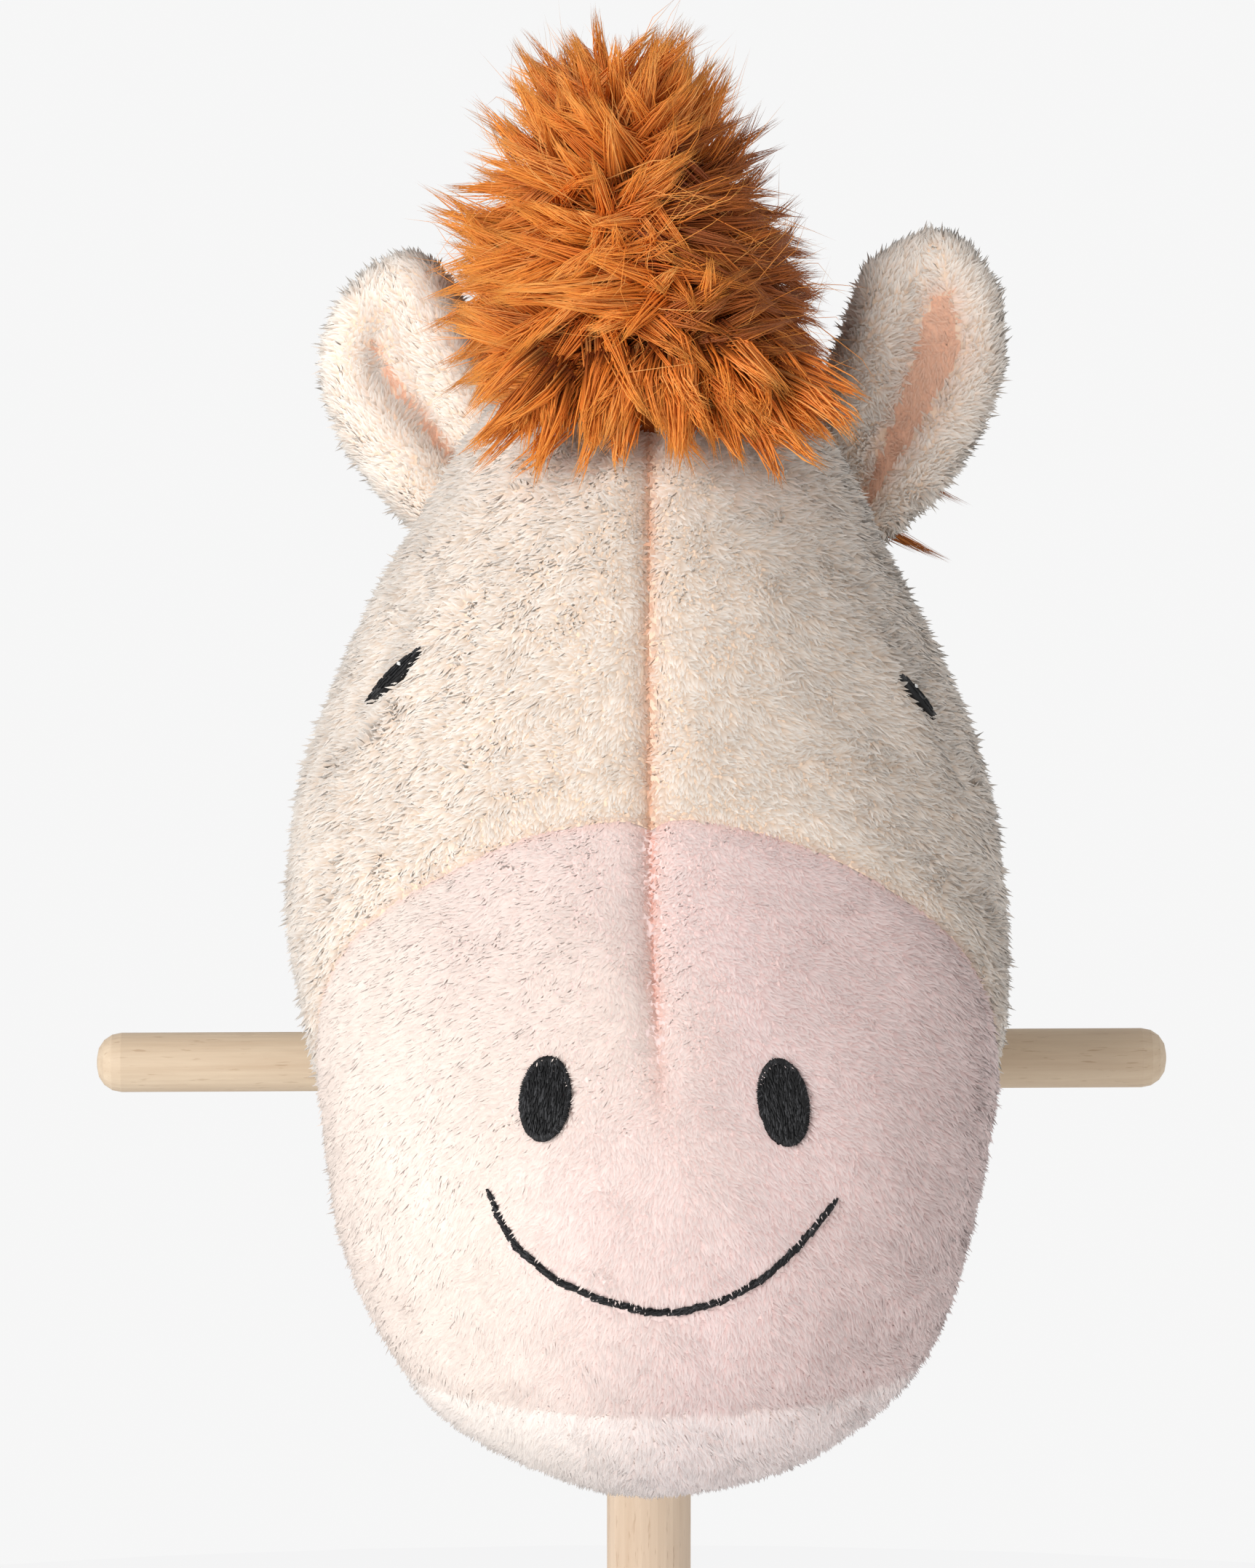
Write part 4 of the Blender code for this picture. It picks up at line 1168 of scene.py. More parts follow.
neck = oval_body("neck", neck_rows(), inset=0.0030, rings=84, sides=96)
points = coordinates(neck.data)
height = points[:, 2] - HANDLE
angle = np.arctan2(points[:, 1], points[:, 0])
gathers = 0.0016 * np.cos(angle * 13 + 0.6 * np.sin(angle * 3)) * np.exp(-((height - 0.026) / 0.016) ** 2)
gathers += 0.0010 * np.cos(angle * 13) * smoothstep(0.015 - height, 0, 0.004)
seam = -0.0022 * np.exp(-(points[:, 0] / 0.004) ** 2) * smoothstep(height, 0.02, 0.04)
points += normals(neck.data) * (gathers + seam + 0.0008 * wave(points, 0.04, 8))[:, None]
set_coordinates(neck.data, points)
facing = normals(neck.data)
free = np.array([0.0 if inside(head_shape, p) else 1.0 for p in points])
flow = combed(points, facing, (0, 0.3, 0.02, 51), (0, 0.1, 0.02, 52), (-0.35, 0.3, 0.02, 53))
tied = smoothstep(np.abs(height - 0.015), 0.0006, 0.0016)
bald = (np.abs(points[:, 0]) < 0.009) & (points[:, 1] > 0.02) & (height > 0.062)
dress_skin(neck, flow, free * tied * np.where(bald, 0.0, 1.0), 0.6 + 0.4 * smoothstep(height, 0.02, 0.04))
pile_piece("neck_pile", neck, cream_pile, "cream_plush", NECK_PILE, 51)
finish_soft(neck, cream_cloth, "cream_plush", ["neck_panel_left", "neck_panel_right", "neck_stuffing"])

# Tie, a twisted cord round the hem
TIE_RADIUS = 0.0128
TIE_HEIGHT = HANDLE + 0.0150
STRAND_RADIUS = 0.00068
STRAND_OFFSET = 0.00062
TWIST = 0.0042
KNOT_BACK = 0.0148


def tube(path, radius, sides, closed):
    """A round strand along a path, which joins up or ends in flat faces."""
    path = np.asarray(path, float)
    count = len(path)
    ahead = np.roll(path, -1, 0) - np.roll(path, 1, 0)
    if not closed:
        ahead[0], ahead[-1] = path[1] - path[0], path[-1] - path[-2]
    ahead = unit(ahead)
    first = np.cross(ahead, [0.0, 0.0, 1.0])
    weak = np.linalg.norm(first, axis=1) < 0.2
    first[weak] = np.cross(ahead[weak], [1.0, 0, 0])
    first = unit(first)
    second = np.cross(ahead, first)
    points = []
    for k in range(count):
        for s in range(sides):
            a = 2 * np.pi * s / sides
            points.append(path[k] + radius * (math.cos(a) * first[k] + math.sin(a) * second[k]))
    return points, ring_faces(count, sides, 0, True) if closed else rod_faces(count, sides)


def cord_strands(path, closed):
    """Three strands twisted round a path."""
    ahead = unit(np.gradient(path, axis=0))
    first = unit(np.cross(ahead, [0.15, 0.1, 1.0]))
    second = np.cross(ahead, first)
    length = run_lengths(path)
    turns = length / TWIST * 2 * np.pi
    if closed:
        total = length[-1] + np.linalg.norm(path[0] - path[-1])
        turns = length / total * round(total / TWIST) * 2 * np.pi
    for number in range(3):
        a = turns + number * 2 * np.pi / 3
        yield path + STRAND_OFFSET * (np.cos(a)[:, None] * first + np.sin(a)[:, None] * second)


ring = np.linspace(0, 2 * np.pi, 260, endpoint=False)
loop = np.stack([TIE_RADIUS * np.cos(ring), TIE_RADIUS * np.sin(ring), np.full(260, TIE_HEIGHT)], 1)
turn = np.linspace(0, 2 * np.pi, 80, endpoint=False)
knot = np.stack([
    0.0030 * np.cos(turn), KNOT_BACK + 0.0012 * np.sin(2 * turn), TIE_HEIGHT + 0.0024 * np.sin(turn),
], 1)
cords = [(loop, True), (knot, True)]
for side in (-1, 1):
    t = np.linspace(0, 1, 70)
    cords.append((np.stack([
        side * (0.002 + 0.009 * np.sin(t * 2.2)), 0.0146 + 0.0045 * np.sin(t * 2.2),
        TIE_HEIGHT - 0.022 * t ** 1.3 - 0.001 * side * t,
    ], 1), False))
points, faces = [], []
for path, closed in cords:
    for strand in cord_strands(path, closed):
        more, their = tube(strand, STRAND_RADIUS, 6, closed)
        faces += [tuple(i + len(points) for i in face) for face in their]
        points += more
tie = mesh_piece("neck_tie_cord", points, faces, cord_cotton)
face_out(tie)
belong(tie, "cotton_cord", "neck_tie")


# Mane

# A fibre: how far along it its rings lie and how thick it is there; the last is its tip
FIBRE_STEPS = (0.0, 0.42, 0.78, 1.0)
FIBRE_SIZES = (1.0, 0.86, 0.50)
FIBRE_SIDES = 3
FIBRE_POINTS = 10
FIBRE_CORNERS = 48


def fur_locks(roots, tips, bends, fibres, root_spread, tip_spread, width, curl, seed, tone_shift=0.0, shortest=0.78):
    """Tapering fibres in pointed locks: each lock runs from its root to its tip along a bent line."""
    rng = np.random.default_rng(seed)
    lock = np.repeat(np.arange(len(roots)), fibres)
    total = len(lock)
    root, tip, bend = roots[lock], tips[lock], bends[lock]
    axis = tip - root
    length = np.linalg.norm(axis, axis=1, keepdims=True)
    axis = axis / length
    across = unit(np.cross(axis, rng.normal(size=3) + np.array([0.3, 0.2, 0.1])))
    other = np.cross(axis, across)
    a = rng.uniform(0, 2 * np.pi, total)
    r = np.sqrt(rng.uniform(0, 1, total))
    offset = (np.cos(a) * r)[:, None] * across + (np.sin(a) * r)[:, None] * other
    scatter = rng.normal(size=(total, 3))
    reach = rng.uniform(shortest, 1.04, (total, 1))
    swing = rng.uniform(0, 2 * np.pi, total)[:, None]
    curl_size = curl * rng.uniform(0.3, 1.0, (total, 1))
    thick = width * rng.uniform(0.6, 1.3, (total, 1))
    rings = []
    for t in FIBRE_STEPS:
        centre = root + axis * length * t * reach + bend * (t * (1 - t) * 2.2)
        centre = centre + offset * (root_spread * (1 - t) ** 1.25 + 0.0011 * (1 - t) * t * 4)
        centre = centre + scatter * tip_spread * t ** 1.6
        wobble = np.sin(swing + t * 5.0) * t * curl_size
        rings.append(centre + across * wobble + other * np.cos(swing + t * 4.0) * t * curl_size)
    points = []
    for centre, size in zip(rings, FIBRE_SIZES):
        for s in range(FIBRE_SIDES):
            angle = 2 * np.pi * s / FIBRE_SIDES
            shift = (math.cos(angle) * across + math.sin(angle) * other) * thick * size * 0.5
            points.append(centre + shift)
    points = np.stack([*points, rings[-1]], 1)
    one = []
    for low, right, top, left in ring_faces(3, FIBRE_SIDES):
        one += [(low, right, top), (low, top, left)]
    one += [(6, 7, 9), (7, 8, 9), (8, 6, 9), (2, 1, 0)]
    faces = (np.array(one)[None] + FIBRE_POINTS * np.arange(total)[:, None, None]).reshape(-1, 3)
    along = np.tile(np.repeat(FIBRE_STEPS, (3, 3, 3, 1)), total)
    lock_tone = rng.uniform(0.15, 0.85, len(roots))[lock]
    shifts = np.broadcast_to(tone_shift, len(roots))[lock]
    tone = np.clip(lock_tone * 0.6 + rng.uniform(0, 0.4, total) + shifts, 0, 1)
    return points.reshape(-1, 3), faces, along, np.repeat(tone, FIBRE_POINTS)


def quick_mesh(name, points, faces):
    """A mesh of triangles straight from arrays."""
    mesh = bpy.data.meshes.new(name)
    mesh.vertices.add(len(points))
    mesh.vertices.foreach_set("co", points.astype(np.float32).ravel())
    mesh.loops.add(faces.size)
    mesh.loops.foreach_set("vertex_index", faces.astype(np.int32).ravel())
    mesh.polygons.add(len(faces))
    mesh.polygons.foreach_set("loop_start", np.arange(0, faces.size, 3, dtype=np.int32))
    mesh.update(calc_edges=True)
    return mesh


def fibre_layout():
    layout = []
    for t0, t1 in ((0.05, 0.42), (0.42, 0.78)):
        for s in range(FIBRE_SIDES):
            low, high = s / FIBRE_SIDES, (s + 1) / FIBRE_SIDES
            layout += [(low, t0), (high, t0), (high, t1), (low, t0), (high, t1), (low, t1)]
    for s in range(FIBRE_SIDES):
        layout += [(s / FIBRE_SIDES, 0.78), ((s + 1) / FIBRE_SIDES, 0.78), ((s + 0.5) / FIBRE_SIDES, 1)]
    return layout + [(1, 0), (0.5, 0.04), (0, 0)]


def fur_piece(name, parts, node):
    """One piece of the mane from its locks."""
    starts = np.cumsum([0] + [len(part[0]) for part in parts])
    points, faces, along, tone = (np.concatenate(values) for values in zip(*(
        (part[0], part[1] + start, part[2], part[3]) for part, start in zip(parts, starts)
    )))
    mesh = quick_mesh(name, points, faces)
    give(mesh, "along", along)
    give(mesh, "tone", tone)
    mesh.materials.append(mane_fur)
    spread_map(mesh, FIBRE_CORNERS, fibre_layout())
    mesh.shade_smooth()
    belong(link(bpy.data.objects.new(name, mesh)), "mane_fur", node)


# The tuft's outline from the top down: height, middle, half width, half depth, middle of the depth
TUFT = np.array([
    (0.812, -0.0080, 0.005, 0.006, -0.020),
    (0.806, -0.0080, 0.013, 0.018, -0.020),
    (0.796, -0.0080, 0.022, 0.028, -0.020),
    (0.780, -0.0070, 0.032, 0.036, -0.021),
    (0.762, -0.0058, 0.041, 0.042, -0.023),
    (0.744, -0.0020, 0.045, 0.044, -0.026),
    (0.727, 0.0010, 0.043, 0.038, -0.026),
    (0.712, 0.0030, 0.036, 0.030, -0.028),
])


def tuft_at(height):
    """Middle, half width, half depth and middle of the depth at a height."""
    return read(TUFT[::-1], height)


TUFT_FOOT, TUFT_HEAD = 0.716, 0.808  # where locks start
TUFT_CROWN = 0.8115  # tips above it are pressed down
PARTING_LOW, PARTING_HIGH = 0.753, 0.770
LONG_LOCKS = 0.35


def mane_locks(number, seed):
    """Roots, tips and bends of locks that lie along the tuft and sweep away from its middle."""
    rng = np.random.default_rng(seed)
    height = rng.uniform(TUFT_FOOT, TUFT_HEAD, number * 4)
    around = rng.uniform(0, 2 * np.pi, number * 4)
    middle, wide, deep, depth = tuft_at(height)
    keep = (rng.uniform(0, 0.046, number * 4) < wide + 0.004) & ((np.sin(around) > -0.1) | (height > 0.730))
    height, around, middle, wide, deep, depth = (
        values[keep][:number] for values in (height, around, middle, wide, deep, depth)
    )
    count = len(height)
    places = np.stack([
        middle + 0.80 * wide * np.cos(around), depth + 0.80 * deep * np.sin(around), height - 0.004 * (height > 0.80),
    ], 1)
    rise = np.clip((height - 0.765) / 0.045, 0, 1.3) ** 2 - 0.5 * np.clip((0.735 - height) / 0.02, 0, 1)
    out = unit(np.stack([np.cos(around) * 0.04 / wide, np.sin(around) * 0.04 / deep, rise], 1))
    parting = places.copy()
    parting[:, 2] = np.clip(places[:, 2], PARTING_LOW, PARTING_HIGH)
    parting[:, 0] = -0.005 + 0.3 * (PARTING_HIGH - parting[:, 2])
    away = (places - parting) * np.array([1, 0, 1])
    reach = np.linalg.norm(away, axis=1, keepdims=True)
    backwards = smoothstep(np.sin(around), -0.65, -0.05)[:, None]
    away = away + np.array([0, 1, 0]) * (0.018 * backwards)
    behind = smoothstep(np.sin(around), 0.35, 0.8)[:, None]
    down_back = np.stack([away[:, 0] / 0.03, np.full(count, 0.1), np.tanh((height - 0.772) / 0.010)], 1)
    way = away / np.maximum(np.linalg.norm(away, axis=1, keepdims=True), 0.002) * (1 - behind) + down_back * behind
    swirl = (0.85 * wave(places, 0.020, 7) + 0.35 * wave(places, 0.009, 8))[:, None]
    way = way * np.cos(swirl) + np.cross(out, way) * np.sin(swirl)
    loose = 0.20 + 0.60 * np.exp(-(reach / 0.010) ** 2)
    way += rng.normal(0, 1, (count, 3)) * loose
    way -= out * (way * out).sum(1, keepdims=True)
    way += out * rng.uniform(0.35, 0.75, (count, 1)) * (1 - 0.35 * backwards)
    way = unit(way)
    is_long = rng.random((count, 1)) < LONG_LOCKS
    length = np.where(is_long, rng.uniform(0.038, 0.050, (count, 1)), rng.uniform(0.024, 0.036, (count, 1)))
    length *= 0.62 + 0.38 * smoothstep(reach, 0.0, 0.020)
    tips = places + way * length * 0.36
    tips[:, 2] = np.minimum(tips[:, 2], TUFT_CROWN + 0.35 * (tips[:, 2] - TUFT_CROWN))
    floor = 0.7125 + 0.25 * np.maximum(tips[:, 0], 0)
    stopped = np.maximum(tips[:, 2], floor - 0.3 * np.maximum(floor - tips[:, 2], 0))
    tips[:, 2] = np.where(places[:, 1] < -0.01, stopped, tips[:, 2])
    low = smoothstep(0.742 - tips[:, 2], 0, 0.02)
    tips[:, 1] = np.maximum(tips[:, 1], -0.085 + 0.019 * low)
    roots = places - way * length * 0.55 - out * 0.010
    middle, wide, deep, depth = tuft_at(np.clip(roots[:, 2], 0.712, 0.800))
    roots[:, 2] = np.minimum(roots[:, 2], 0.788)
    off = np.stack([roots[:, 0] - middle, roots[:, 1] - depth], 1)
    share = np.hypot(off[:, 0] / wide, off[:, 1] / deep)
    roots[:, :2] -= off * (1 - np.minimum(1, 0.60 / np.maximum(share, 0.01)))[:, None]
    bends = rng.normal(0, 0.0022, (count, 3)) + out * 0.003
    return roots, tips, bends


# The backing that the fur stands on: level ovals, rough at the rim, dark brown as painted shade deep in the tuft
CORE_SHARE = 0.5
CORE_HEIGHTS = np.linspace(0.722, 0.776, 9)
CORE_SIDES = 40
angles = 2 * np.pi * np.arange(CORE_SIDES) / CORE_SIDES
points = []
for height in CORE_HEIGHTS:
    middle, wide, deep, depth = tuft_at(height)
    rough = 1 + 0.10 * np.sin(angles * 7 + height * 260) + 0.06 * np.sin(angles * 13 - height * 400)
    for a, k in zip(angles, rough):
        across, back = wide * CORE_SHARE * k * math.cos(a), deep * CORE_SHARE * k * math.sin(a)
        points.append((middle + across, depth + back, height))
for height, beyond in ((CORE_HEIGHTS[0], -0.008), (CORE_HEIGHTS[-1], 0.006)):
    middle, _, _, depth = tuft_at(height)
    points.append((middle, depth, height + beyond))
core = mesh_piece("mane_core", points, stack_faces(len(CORE_HEIGHTS), CORE_SIDES), mane_backing_shade)
belong(core, "mane_fur")

roots, tips, bends = mane_locks(560, 5)
half = len(roots) // 2
# Painted shade: locks whose tips lie on the right and below the top of the tuft get a lower tone, so a darker brown
shade = 0.08 - 0.70 * smoothstep(tips[:, 0], 0.006, 0.030) * smoothstep(0.806 - tips[:, 2], 0, 0.02)
for number, part in enumerate((slice(0, half), slice(half, None))):
    locks = fur_locks(
        roots[part], tips[part], bends[part], fibres=42, root_spread=0.0036, tip_spread=0.0004, width=0.00052,
        curl=0.0009, seed=61 + number, tone_shift=shade[part],
    )
    fur_piece(f"forelock_fur_{number + 1}", [locks], "forelock")

rng = np.random.default_rng(77)
roots, tips, bends = mane_locks(170, 78)
number = len(roots)
tips = tips + (tips - roots) * rng.uniform(-0.1, 0.06, (number, 1)) + rng.normal(0, 0.0025, (number, 3))
strays = fur_locks(
    roots, tips, bends * 2.0, fibres=7, root_spread=0.006, tip_spread=0.004, width=0.00030, curl=0.004, seed=79,
    tone_shift=0.25,
)

# The fringe over the forehead
number = 90
fx = rng.uniform(-0.034, 0.040, number)
roots = np.stack([
    fx * 0.75, -0.052 + rng.normal(0, 0.003, number), 0.741 - 0.10 * np.abs(fx) + rng.normal(0, 0.004, number),
], 1)
tips = roots + np.stack([
    fx * 0.45 + rng.normal(0, 0.004, number), rng.uniform(-0.013, -0.007, number),
    rng.uniform(-0.024, -0.010, number) + 0.12 * np.maximum(fx, 0),
], 1)
fringe = fur_locks(
    roots, tips, rng.normal(0, 0.003, (number, 3)), fibres=30, root_spread=0.0032, tip_spread=0.0008, width=0.0005,
    curl=0.0010, seed=81,
)
fur_piece("forelock_strays", [strays, fringe], "forelock")

# Crest, sewn in down the middle of the neck's back; most of its locks fall to one side

neck_back = np.array([
    (HANDLE + HEM_TOP + share * (NECK_TOP - HEM_TOP), behind * NECK_BACK, side * NECK_HALF)
    for share, _, behind, side in NECK
] + [(HANDLE + NECK_TOP, 0.016, 0.020)])


def on_neck(x, z, out):
    """A place over the back of the neck, at a distance from its cloth."""
    back, half = read(neck_back, z)
    share = np.clip(x / half, -0.95, 0.95)
    deep = np.sqrt(1 - share ** 2)
    return np.stack([x + out * share, (back + out) * deep, z + 0 * x], 1)


# The line that the crest is sewn along, down the back of the head and neck: y and z
SPINE = np.array([
    (0.000, 0.7435), (0.012, 0.7430), (0.024, 0.7375), (0.034, 0.7290), (0.040, 0.7160), (0.0450, 0.6980),
    (0.0475, 0.6800), (0.0465, 0.6580), (0.0430, 0.6380), (0.0385, 0.6240),
])
STRIP = ((-0.010, -0.004), (-0.008, -0.0006), (0.0, 0.0012), (0.008, -0.0006), (0.010, -0.004))
spine = np.column_stack([run_lengths(SPINE), SPINE])
band = np.linspace(0, spine[-1, 0], 40)
band_y, band_z = read(spine, band)
points = []
for y, z, dy, dz in zip(band_y, band_z, np.gradient(band_y, band), np.gradient(band_z, band)):
    points += [(x, y - dz * out, z + dy * out) for x, out in STRIP]
# The crest's backing strip, dark brown as painted shade at the roots
strip = mesh_piece("crest_backing", points, rod_faces(len(band), len(STRIP)), mane_backing_shade)
face_out(strip)
belong(strip, "mane_fur")

number = 250
rng = np.random.default_rng(90)
root_y, root_z = read(spine, rng.uniform(0, spine[-1, 0], number))
roots = np.stack([rng.normal(0, 0.0035, number), root_y - 0.002, root_z - 0.001], 1)
fall = np.clip(rng.normal(0.25, 0.55, number), -1, 1.15)
drop_by = rng.uniform(0.012, 0.026, number) * (1 - 0.35 * np.abs(fall))
tip_z = np.clip(root_z, 0, 0.739) - drop_by
tips = on_neck(0.026 * fall, tip_z, rng.uniform(0.007, 0.016, number))
on_top = smoothstep(root_z, 0.728, 0.744)[:, None]
over = np.stack([
    0.022 * fall, root_y + rng.uniform(0.012, 0.026, number), root_z + rng.uniform(-0.004, 0.012, number),
], 1)
tips = tips * (1 - on_top) + over * on_top
bends = rng.normal(0, 0.002, (number, 3))
bends += np.stack([0 * fall, 0.010 * (1 - on_top[:, 0]), 0.004 + 0.006 * on_top[:, 0]], 1)
crest = fur_locks(
    roots, tips, bends, fibres=34, root_spread=0.0040, tip_spread=0.0006, width=0.00054, curl=0.0010, seed=91,
)

# The locks of the crest that show beside the head from the front
sweep_roots = np.array([
    (0.010, 0.044, 0.710), (0.012, 0.044, 0.696), (0.008, 0.044, 0.704), (0.008, 0.045, 0.690),
    (0.008, 0.044, 0.714), (0.008, 0.045, 0.682), (0.006, 0.044, 0.700), (-0.006, 0.044, 0.706),
])
sweep_tips = np.array([
    (0.0738, 0.030, 0.6930), (0.0708, 0.034, 0.6785), (0.056, 0.040, 0.686), (0.054, 0.042, 0.670),
    (0.050, 0.042, 0.702), (0.046, 0.046, 0.660), (0.040, 0.052, 0.684), (-0.044, 0.046, 0.690),
])
sweep_bends = np.tile([0.002, 0.014, 0.005], (8, 1)) + rng.normal(0, 0.001, (8, 3))
sweep = fur_locks(
    sweep_roots, sweep_tips, sweep_bends, fibres=70, root_spread=0.0034, tip_spread=0.0003, width=0.00052,
    curl=0.0006, seed=92, tone_shift=-0.4, shortest=0.88,
)
fur_piece("crest_fur", [crest, sweep], "crest_mane")


# Embroidery

def stitch_shape(name):
    """One thread stitch, a unit long and thick, rounded off at both ends."""
    rings, sides = [(-0.5, 0.28), (-0.3, 0.46), (0.0, 0.5), (0.3, 0.46), (0.5, 0.28)], 5
    points = []
    for height, width in rings:
        for i in range(sides):
            a = 2 * math.pi * i / sides
            points.append((width * math.cos(a), width * math.sin(a), height))
    shape = mesh_piece(name, points, rod_faces(len(rings), sides))
    give(shape.data, "along", [1 - abs(p[2]) * 2 for p in points])
    return shape


def stitch_tree():
    """Geometry nodes that lay one stitch at each point, along its aim and square to its surface."""
    kit, asked = new_tree("stitches", {
        "Places": "Geometry", "Stitch": "Object", "Thickness": "Float", "Seed": "Int", "Finish": "Material",
    }, "Stitches")
    turn = kit.node(
        "FunctionNodeAxesToRotation",
        {"Primary Axis": kit.named("aim", "FLOAT_VECTOR"), "Secondary Axis": kit.named("facing", "FLOAT_VECTOR")},
        primary_axis="Z", secondary_axis="X",
    )
    thick = asked["Thickness"] * kit.chance(0.85, 1.15, asked["Seed"])
    size = kit.node("ShaderNodeCombineXYZ", {0: thick, 1: thick, 2: kit.named("length")})
    shape = kit.node("GeometryNodeObjectInfo", {"Object": asked["Stitch"]}, 4)
    laid = kit.node("GeometryNodeInstanceOnPoints", {
        "Points": asked["Places"], "Instance": shape, "Rotation": turn, "Scale": size,
    })
    laid = kit.kept(laid, "tone", kit.chance(0.0, 1.0, asked["Seed"] + 3), "FLOAT", "INSTANCE")
    solid = kit.node("GeometryNodeRealizeInstances", {"Geometry": laid})
    return end_tree(kit, solid, asked["Finish"])


THREAD, HIGHLIGHT_THREAD, SMILE_THREAD = 0.00055, 0.0005, 0.00062
STITCH = 0.0024
RIM_STEP = 0.42  # millimetres between the stitches of a rim
PIXELS_A_METRE = 5.9 * 1000  # of the photograph, at the face
stitch = stitch_shape("thread_stitch")
stitches = stitch_tree()


def sewn(name, places, aims, facings, lengths, thickness, material, slot, seed, nodes):
    """Lays a thread stitch at each place, as one piece."""
    mesh = bpy.data.meshes.new(name + "_places")
    mesh.from_pydata([tuple(p) for p in places], [], [])
    give(mesh, "aim", aims, "FLOAT_VECTOR")
    give(mesh, "facing", facings, "FLOAT_VECTOR")
    give(mesh, "length", lengths)
    spots = link(bpy.data.objects.new(name + "_places", mesh))
    made = run_tree(spots, stitches, {
        "Stitch": stitch, "Thickness": thickness, "Seed": seed, "Finish": material,
    })
    drop(spots)
    made.name = name
    made.shade_smooth()
    belong(link(bpy.data.objects.new(name, made)), slot, *nodes)


def sewn_patch(name, spec, dome, material, slot, nodes, rim=1.7, fill=0.42):
    """A padded oval of thread: a low dome, rows of fill stitches and a satin rim, both given in mm."""
    rings, sides = 6, 40
    thick = 0.0016
    centre, facing = sight(pile_top, *oval_pixel(spec, 0, 0))

    def on_dome(spot, out, share):
        """A place on the dome over a spot of the cloth, and the way that the dome faces there."""
        out = unit(facing * 0.6 + out * 0.4)
        return spot + out * dome * math.sqrt(max(1 - share ** 2, 0)), out

    top, bottom = [], []
    for r in range(1, rings + 1):
        share = r / rings
        for i in range(sides):
            a = 2 * math.pi * i / sides
            spot, out = sight(pile_top, *oval_pixel(spec, share * math.cos(a), share * math.sin(a)))
            if spot is None:
                spot, out = centre, facing
            above, out = on_dome(spot, out, share)
            top.append(above)
            bottom.append(spot - out * thick)
    points = [*top, *bottom, centre + facing * dome, centre - facing * thick]
    faces = []
    size = rings * sides
    for r in range(rings - 1):
        for i in range(sides):
            j = (i + 1) % sides
            a, b = r * sides, (r + 1) * sides
            faces.append((a + i, b + i, b + j, a + j))
            faces.append((size + a + i, size + a + j, size + b + j, size + b + i))
    for i in range(sides):
        j = (i + 1) % sides
        faces.append((2 * size, i, j))
        faces.append((2 * size + 1, size + j, size + i))
        a = (rings - 1) * sides
        faces.append((a + i, size + a + i, size + a + j, a + j))
    body = mesh_piece(name + "_pad", points, faces, material)
    face_out(body)
    give(body.data, "along", np.full(len(points), 0.4))
    give(body.data, "tone", np.full(len(points), 0.2))
    belong(body, slot, *nodes)

    half_wide, half_long = spec[2:4]
    rng = np.random.default_rng(spec[0] + 3)
    places, aims, facings, lengths = [], [], [], []

    def lay(u, v, du, dv, length, lift):
        spot, out = sight(pile_top, *oval_pixel(spec, u, v))
        ahead, _ = sight(pile_top, *oval_pixel(spec, u + du, v + dv))
        if spot is None or ahead is None:
            return
        if np.linalg.norm(ahead - spot) < 1e-6:
            return
        aims.append(unit(ahead - spot))
        above, out = on_dome(spot, out, min(math.hypot(u, v), 1))
        places.append(above + out * lift)
        facings.append(out)
        lengths.append(length)

    step_u = fill / 1000 * PIXELS_A_METRE / half_wide
    step_v = STITCH * 0.8 * PIXELS_A_METRE / half_long
    row = 0
    u = -1.0
    while u < 1.0:
        v = -1.0 + (row % 3) / 3 * step_v
        while v < 1.0:
            if math.hypot(u, v) < 0.93:
                lay(u + rng.normal(0, 0.02), v + rng.normal(0, 0.03), 0.02 * rng.normal(), 0.08, STITCH, 0.00005)
            v += step_v
        u += step_u
        row += 1
    if rim:
        around = 2 * math.pi * math.sqrt((half_wide ** 2 + half_long ** 2) / 2) / PIXELS_A_METRE * 1000
        count = int(around / RIM_STEP)
        inner = 1 - rim * 0.45 / 1000 * PIXELS_A_METRE / (half_wide + half_long) * 1.3
        for i in range(count):
            a = 2 * math.pi * i / count
            lay(inner * math.cos(a), inner * math.sin(a), 0.08 * math.cos(a + 0.5), 0.08 * math.sin(a + 0.5),
                rim / 1000 * rng.uniform(0.85, 1.15), 0.0002)
    sewn(name + "_thread", places, aims, facings, lengths, THREAD, material, slot, 5, nodes)


for name, spec, dome, *rows in (
    ("nostril_left", NOSTRIL_LEFT, 0.0013), ("nostril_right", NOSTRIL_RIGHT, 0.0013),
    ("eye_left", EYE_LEFT, 0.0010, 0, 0.5), ("eye_right", EYE_RIGHT, 0.0010, 0, 0.5),
):
    sewn_patch(name, spec, dome, black_thread, "black_thread", [name], *rows)

for side, pixel, size in (("left", (553, 915), 0.0013), ("right", (1254, 946), 0.0009)):
    spot, out = sight(pile_top, *pixel)
    aim = unit(np.cross(out, [0.3, 0.1, 1.0]))
    spots = [spot + out * 0.0012 + np.array([0, 0, 0.0002 * k]) for k in (-1, 1)]
    sewn(f"eye_highlight_{side}", spots, [aim] * 2, [out] * 2, [size] * 2, HIGHLIGHT_THREAD, white_thread,
         "white_thread", 9, ["eye_highlight_" + side])

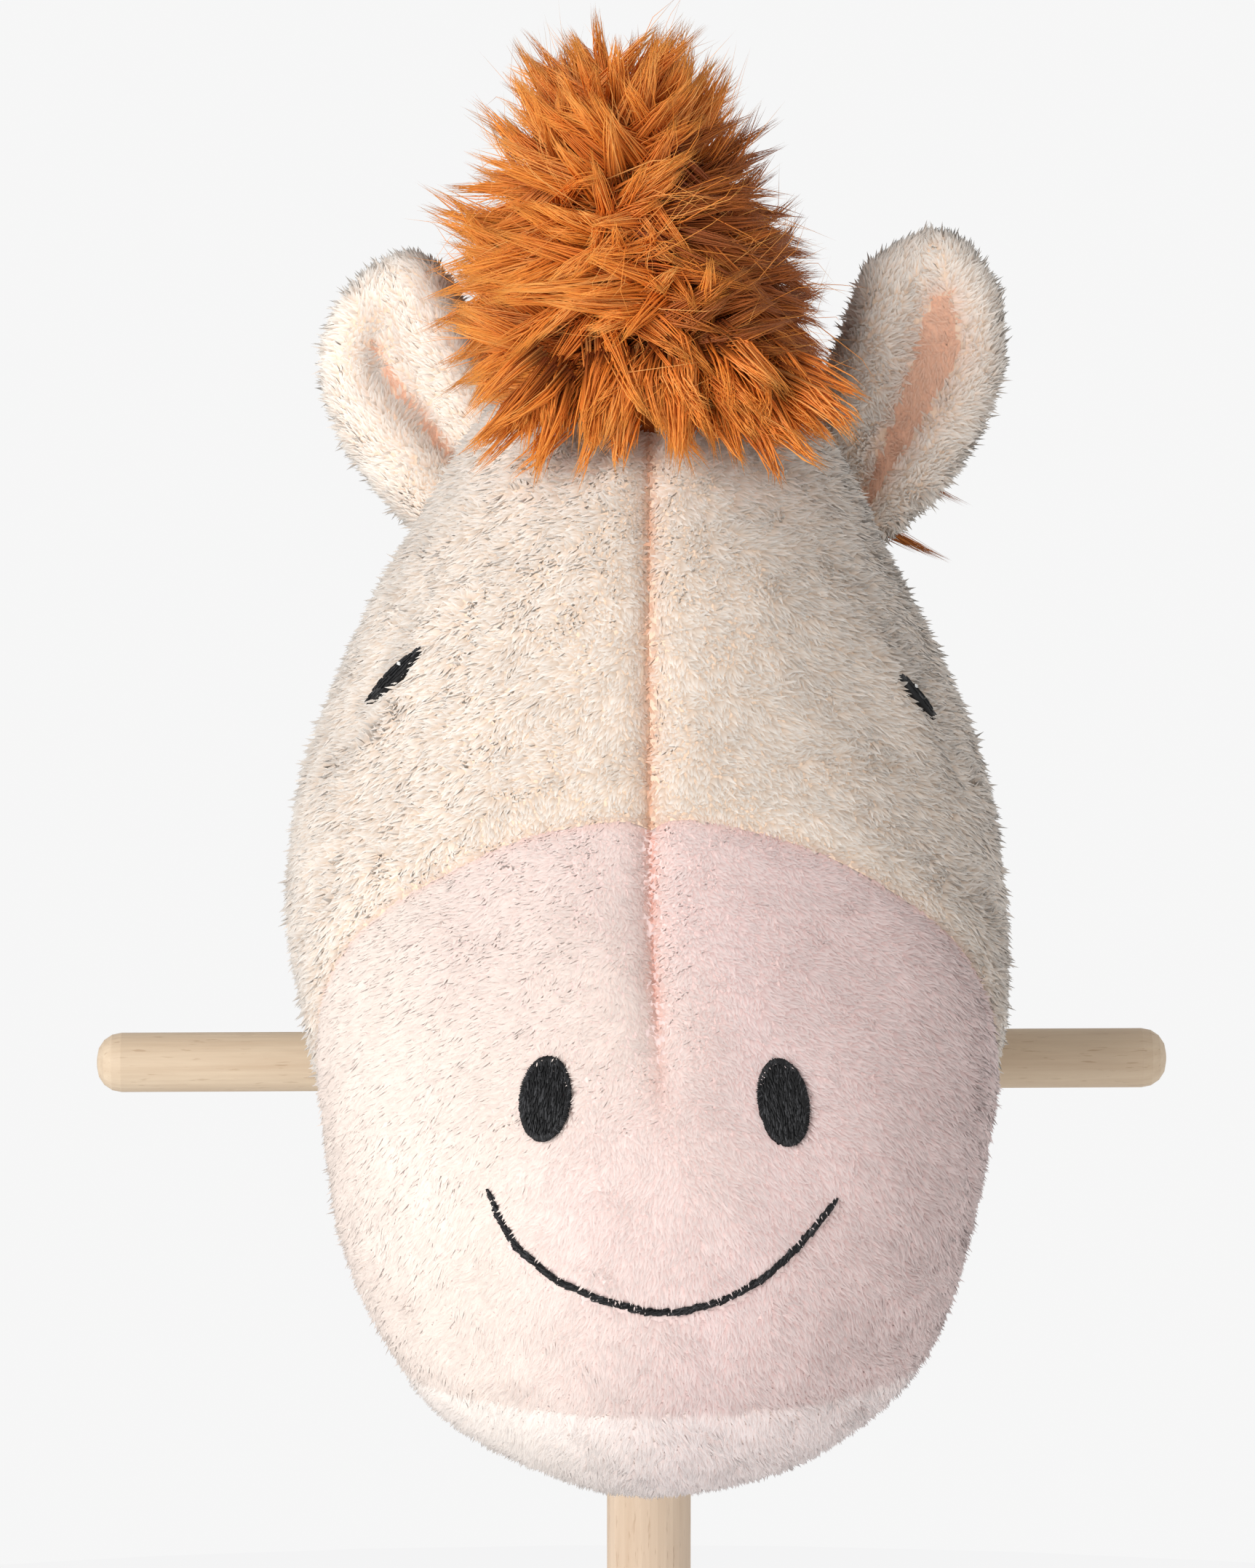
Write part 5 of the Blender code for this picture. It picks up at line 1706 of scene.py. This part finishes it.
# The smile, three lanes of stitches side by side
STITCHES = 150
line = np.array(SMILE, float)
line = np.column_stack([run_lengths(line), line])
places, facings = [], []
for along in np.linspace(0, line[-1, 0], STITCHES):
    spot, out = sight(pile_top, *read(line, along))
    places.append(spot)
    facings.append(out)
places, facings = np.array(places), unit(np.array(facings))
for _ in range(6):
    places[1:-1] = (places[:-2] + 2 * places[1:-1] + places[2:]) / 4
ahead = unit(np.gradient(places, axis=0))
rng = np.random.default_rng(15)
where, aims, outs, sizes = [], [], [], []
for lane in (-1, 0, 1):
    for i in range(STITCHES):
        sideways = np.cross(facings[i], ahead[i])
        slim = min(i, STITCHES - 1 - i) / 12
        shift = lane * 0.00036 * min(1, 0.3 + slim) + rng.normal(0, 0.0001)
        where.append(places[i] + sideways * shift + facings[i] * (0.0004 - 0.0002 * abs(lane)))
        aims.append(unit(ahead[i] + sideways * (0.30 + rng.normal(0, 0.08))))
        outs.append(facings[i])
        sizes.append(STITCH * rng.uniform(0.8, 1.2))
sewn("mouth_line", where, aims, outs, sizes, SMILE_THREAD, black_thread, "black_thread", 17, ["mouth_line"])


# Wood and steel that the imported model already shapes

for node, material in (("stick", stick_wood), ("handle", handle_wood), ("handle_screw", screw_steel)):
    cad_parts[node].material_slots[0].material = material


# Light and surroundings

def lamp(name, place, target, size, power):
    data = bpy.data.lights.new(name, "AREA")
    data.shape = "DISK"
    data.size = size
    data.energy = power
    thing = link(bpy.data.objects.new(name, data))
    thing.location = place
    thing.rotation_euler = (Vector(place) - Vector(target)).to_track_quat("Z", "Y").to_euler()


FOCUS = (0, -0.05, 0.62)
lamp("key", (-1.45, -1.65, 1.30), FOCUS, size=1.9, power=43)
lamp("fill", (-0.2, -1.9, 0.15), FOCUS, size=1.6, power=6)
lamp("rim", (1.5, 0.2, 0.30), FOCUS, size=1.2, power=4.5)

# A white room: what it sends onto the object, and how bright it looks itself
ROOM_LIGHT, ROOM_SEEN = 0.51, 0.925
world = bpy.data.worlds.new("surroundings")
world.use_nodes = True
bpy.context.scene.world = world
kit = Kit(world.node_tree)
background = world.node_tree.nodes["Background"]
strength = kit.spread(kit.looked_at(), 0, 1, ROOM_LIGHT, ROOM_SEEN)
world.node_tree.links.new(strength.socket, background.inputs["Strength"])
background.inputs["Color"].default_value = (1, 1, 1.0, 1)

# Pale paper, seen close to the stick as it is lit, so that it keeps the shadow, and white further out
paper, kit, shader = new_finish("studio_paper")
shader.inputs["Base Color"].default_value = (0.86, 0.86, 0.86, 1)
shader.inputs["Roughness"].default_value = 0.9
glow = kit.node("ShaderNodeEmission", {"Color": (0.905, 0.905, 0.908, 1), "Strength": 1.0})
distance = kit.vector("LENGTH", kit.node("ShaderNodeTexCoord", output=3), output=1)
white = kit.looked_at() * kit.spread(distance, 0.5, 1.3, 0.86, 1.0)
blend = kit.node("ShaderNodeMixShader", {0: white, 1: Wire(kit, shader.outputs[0]), 2: glow})
paper.node_tree.links.new(blend.socket, paper.node_tree.nodes["Material Output"].inputs["Surface"])

FLOOR_RADIUS, FLOOR_SIDES = 1.4, 96
angles = [2 * math.pi * a / FLOOR_SIDES for a in range(FLOOR_SIDES)]
floor = mesh_piece(
    "floor", [(0, 0, 0)] + [(FLOOR_RADIUS * math.cos(a), FLOOR_RADIUS * math.sin(a), 0) for a in angles],
    [(0, a + 1, (a + 1) % FLOOR_SIDES + 1) for a in range(FLOOR_SIDES)], paper,
)

for name in ("pile_tuft", "thread_stitch"):
    drop(bpy.data.objects[name])
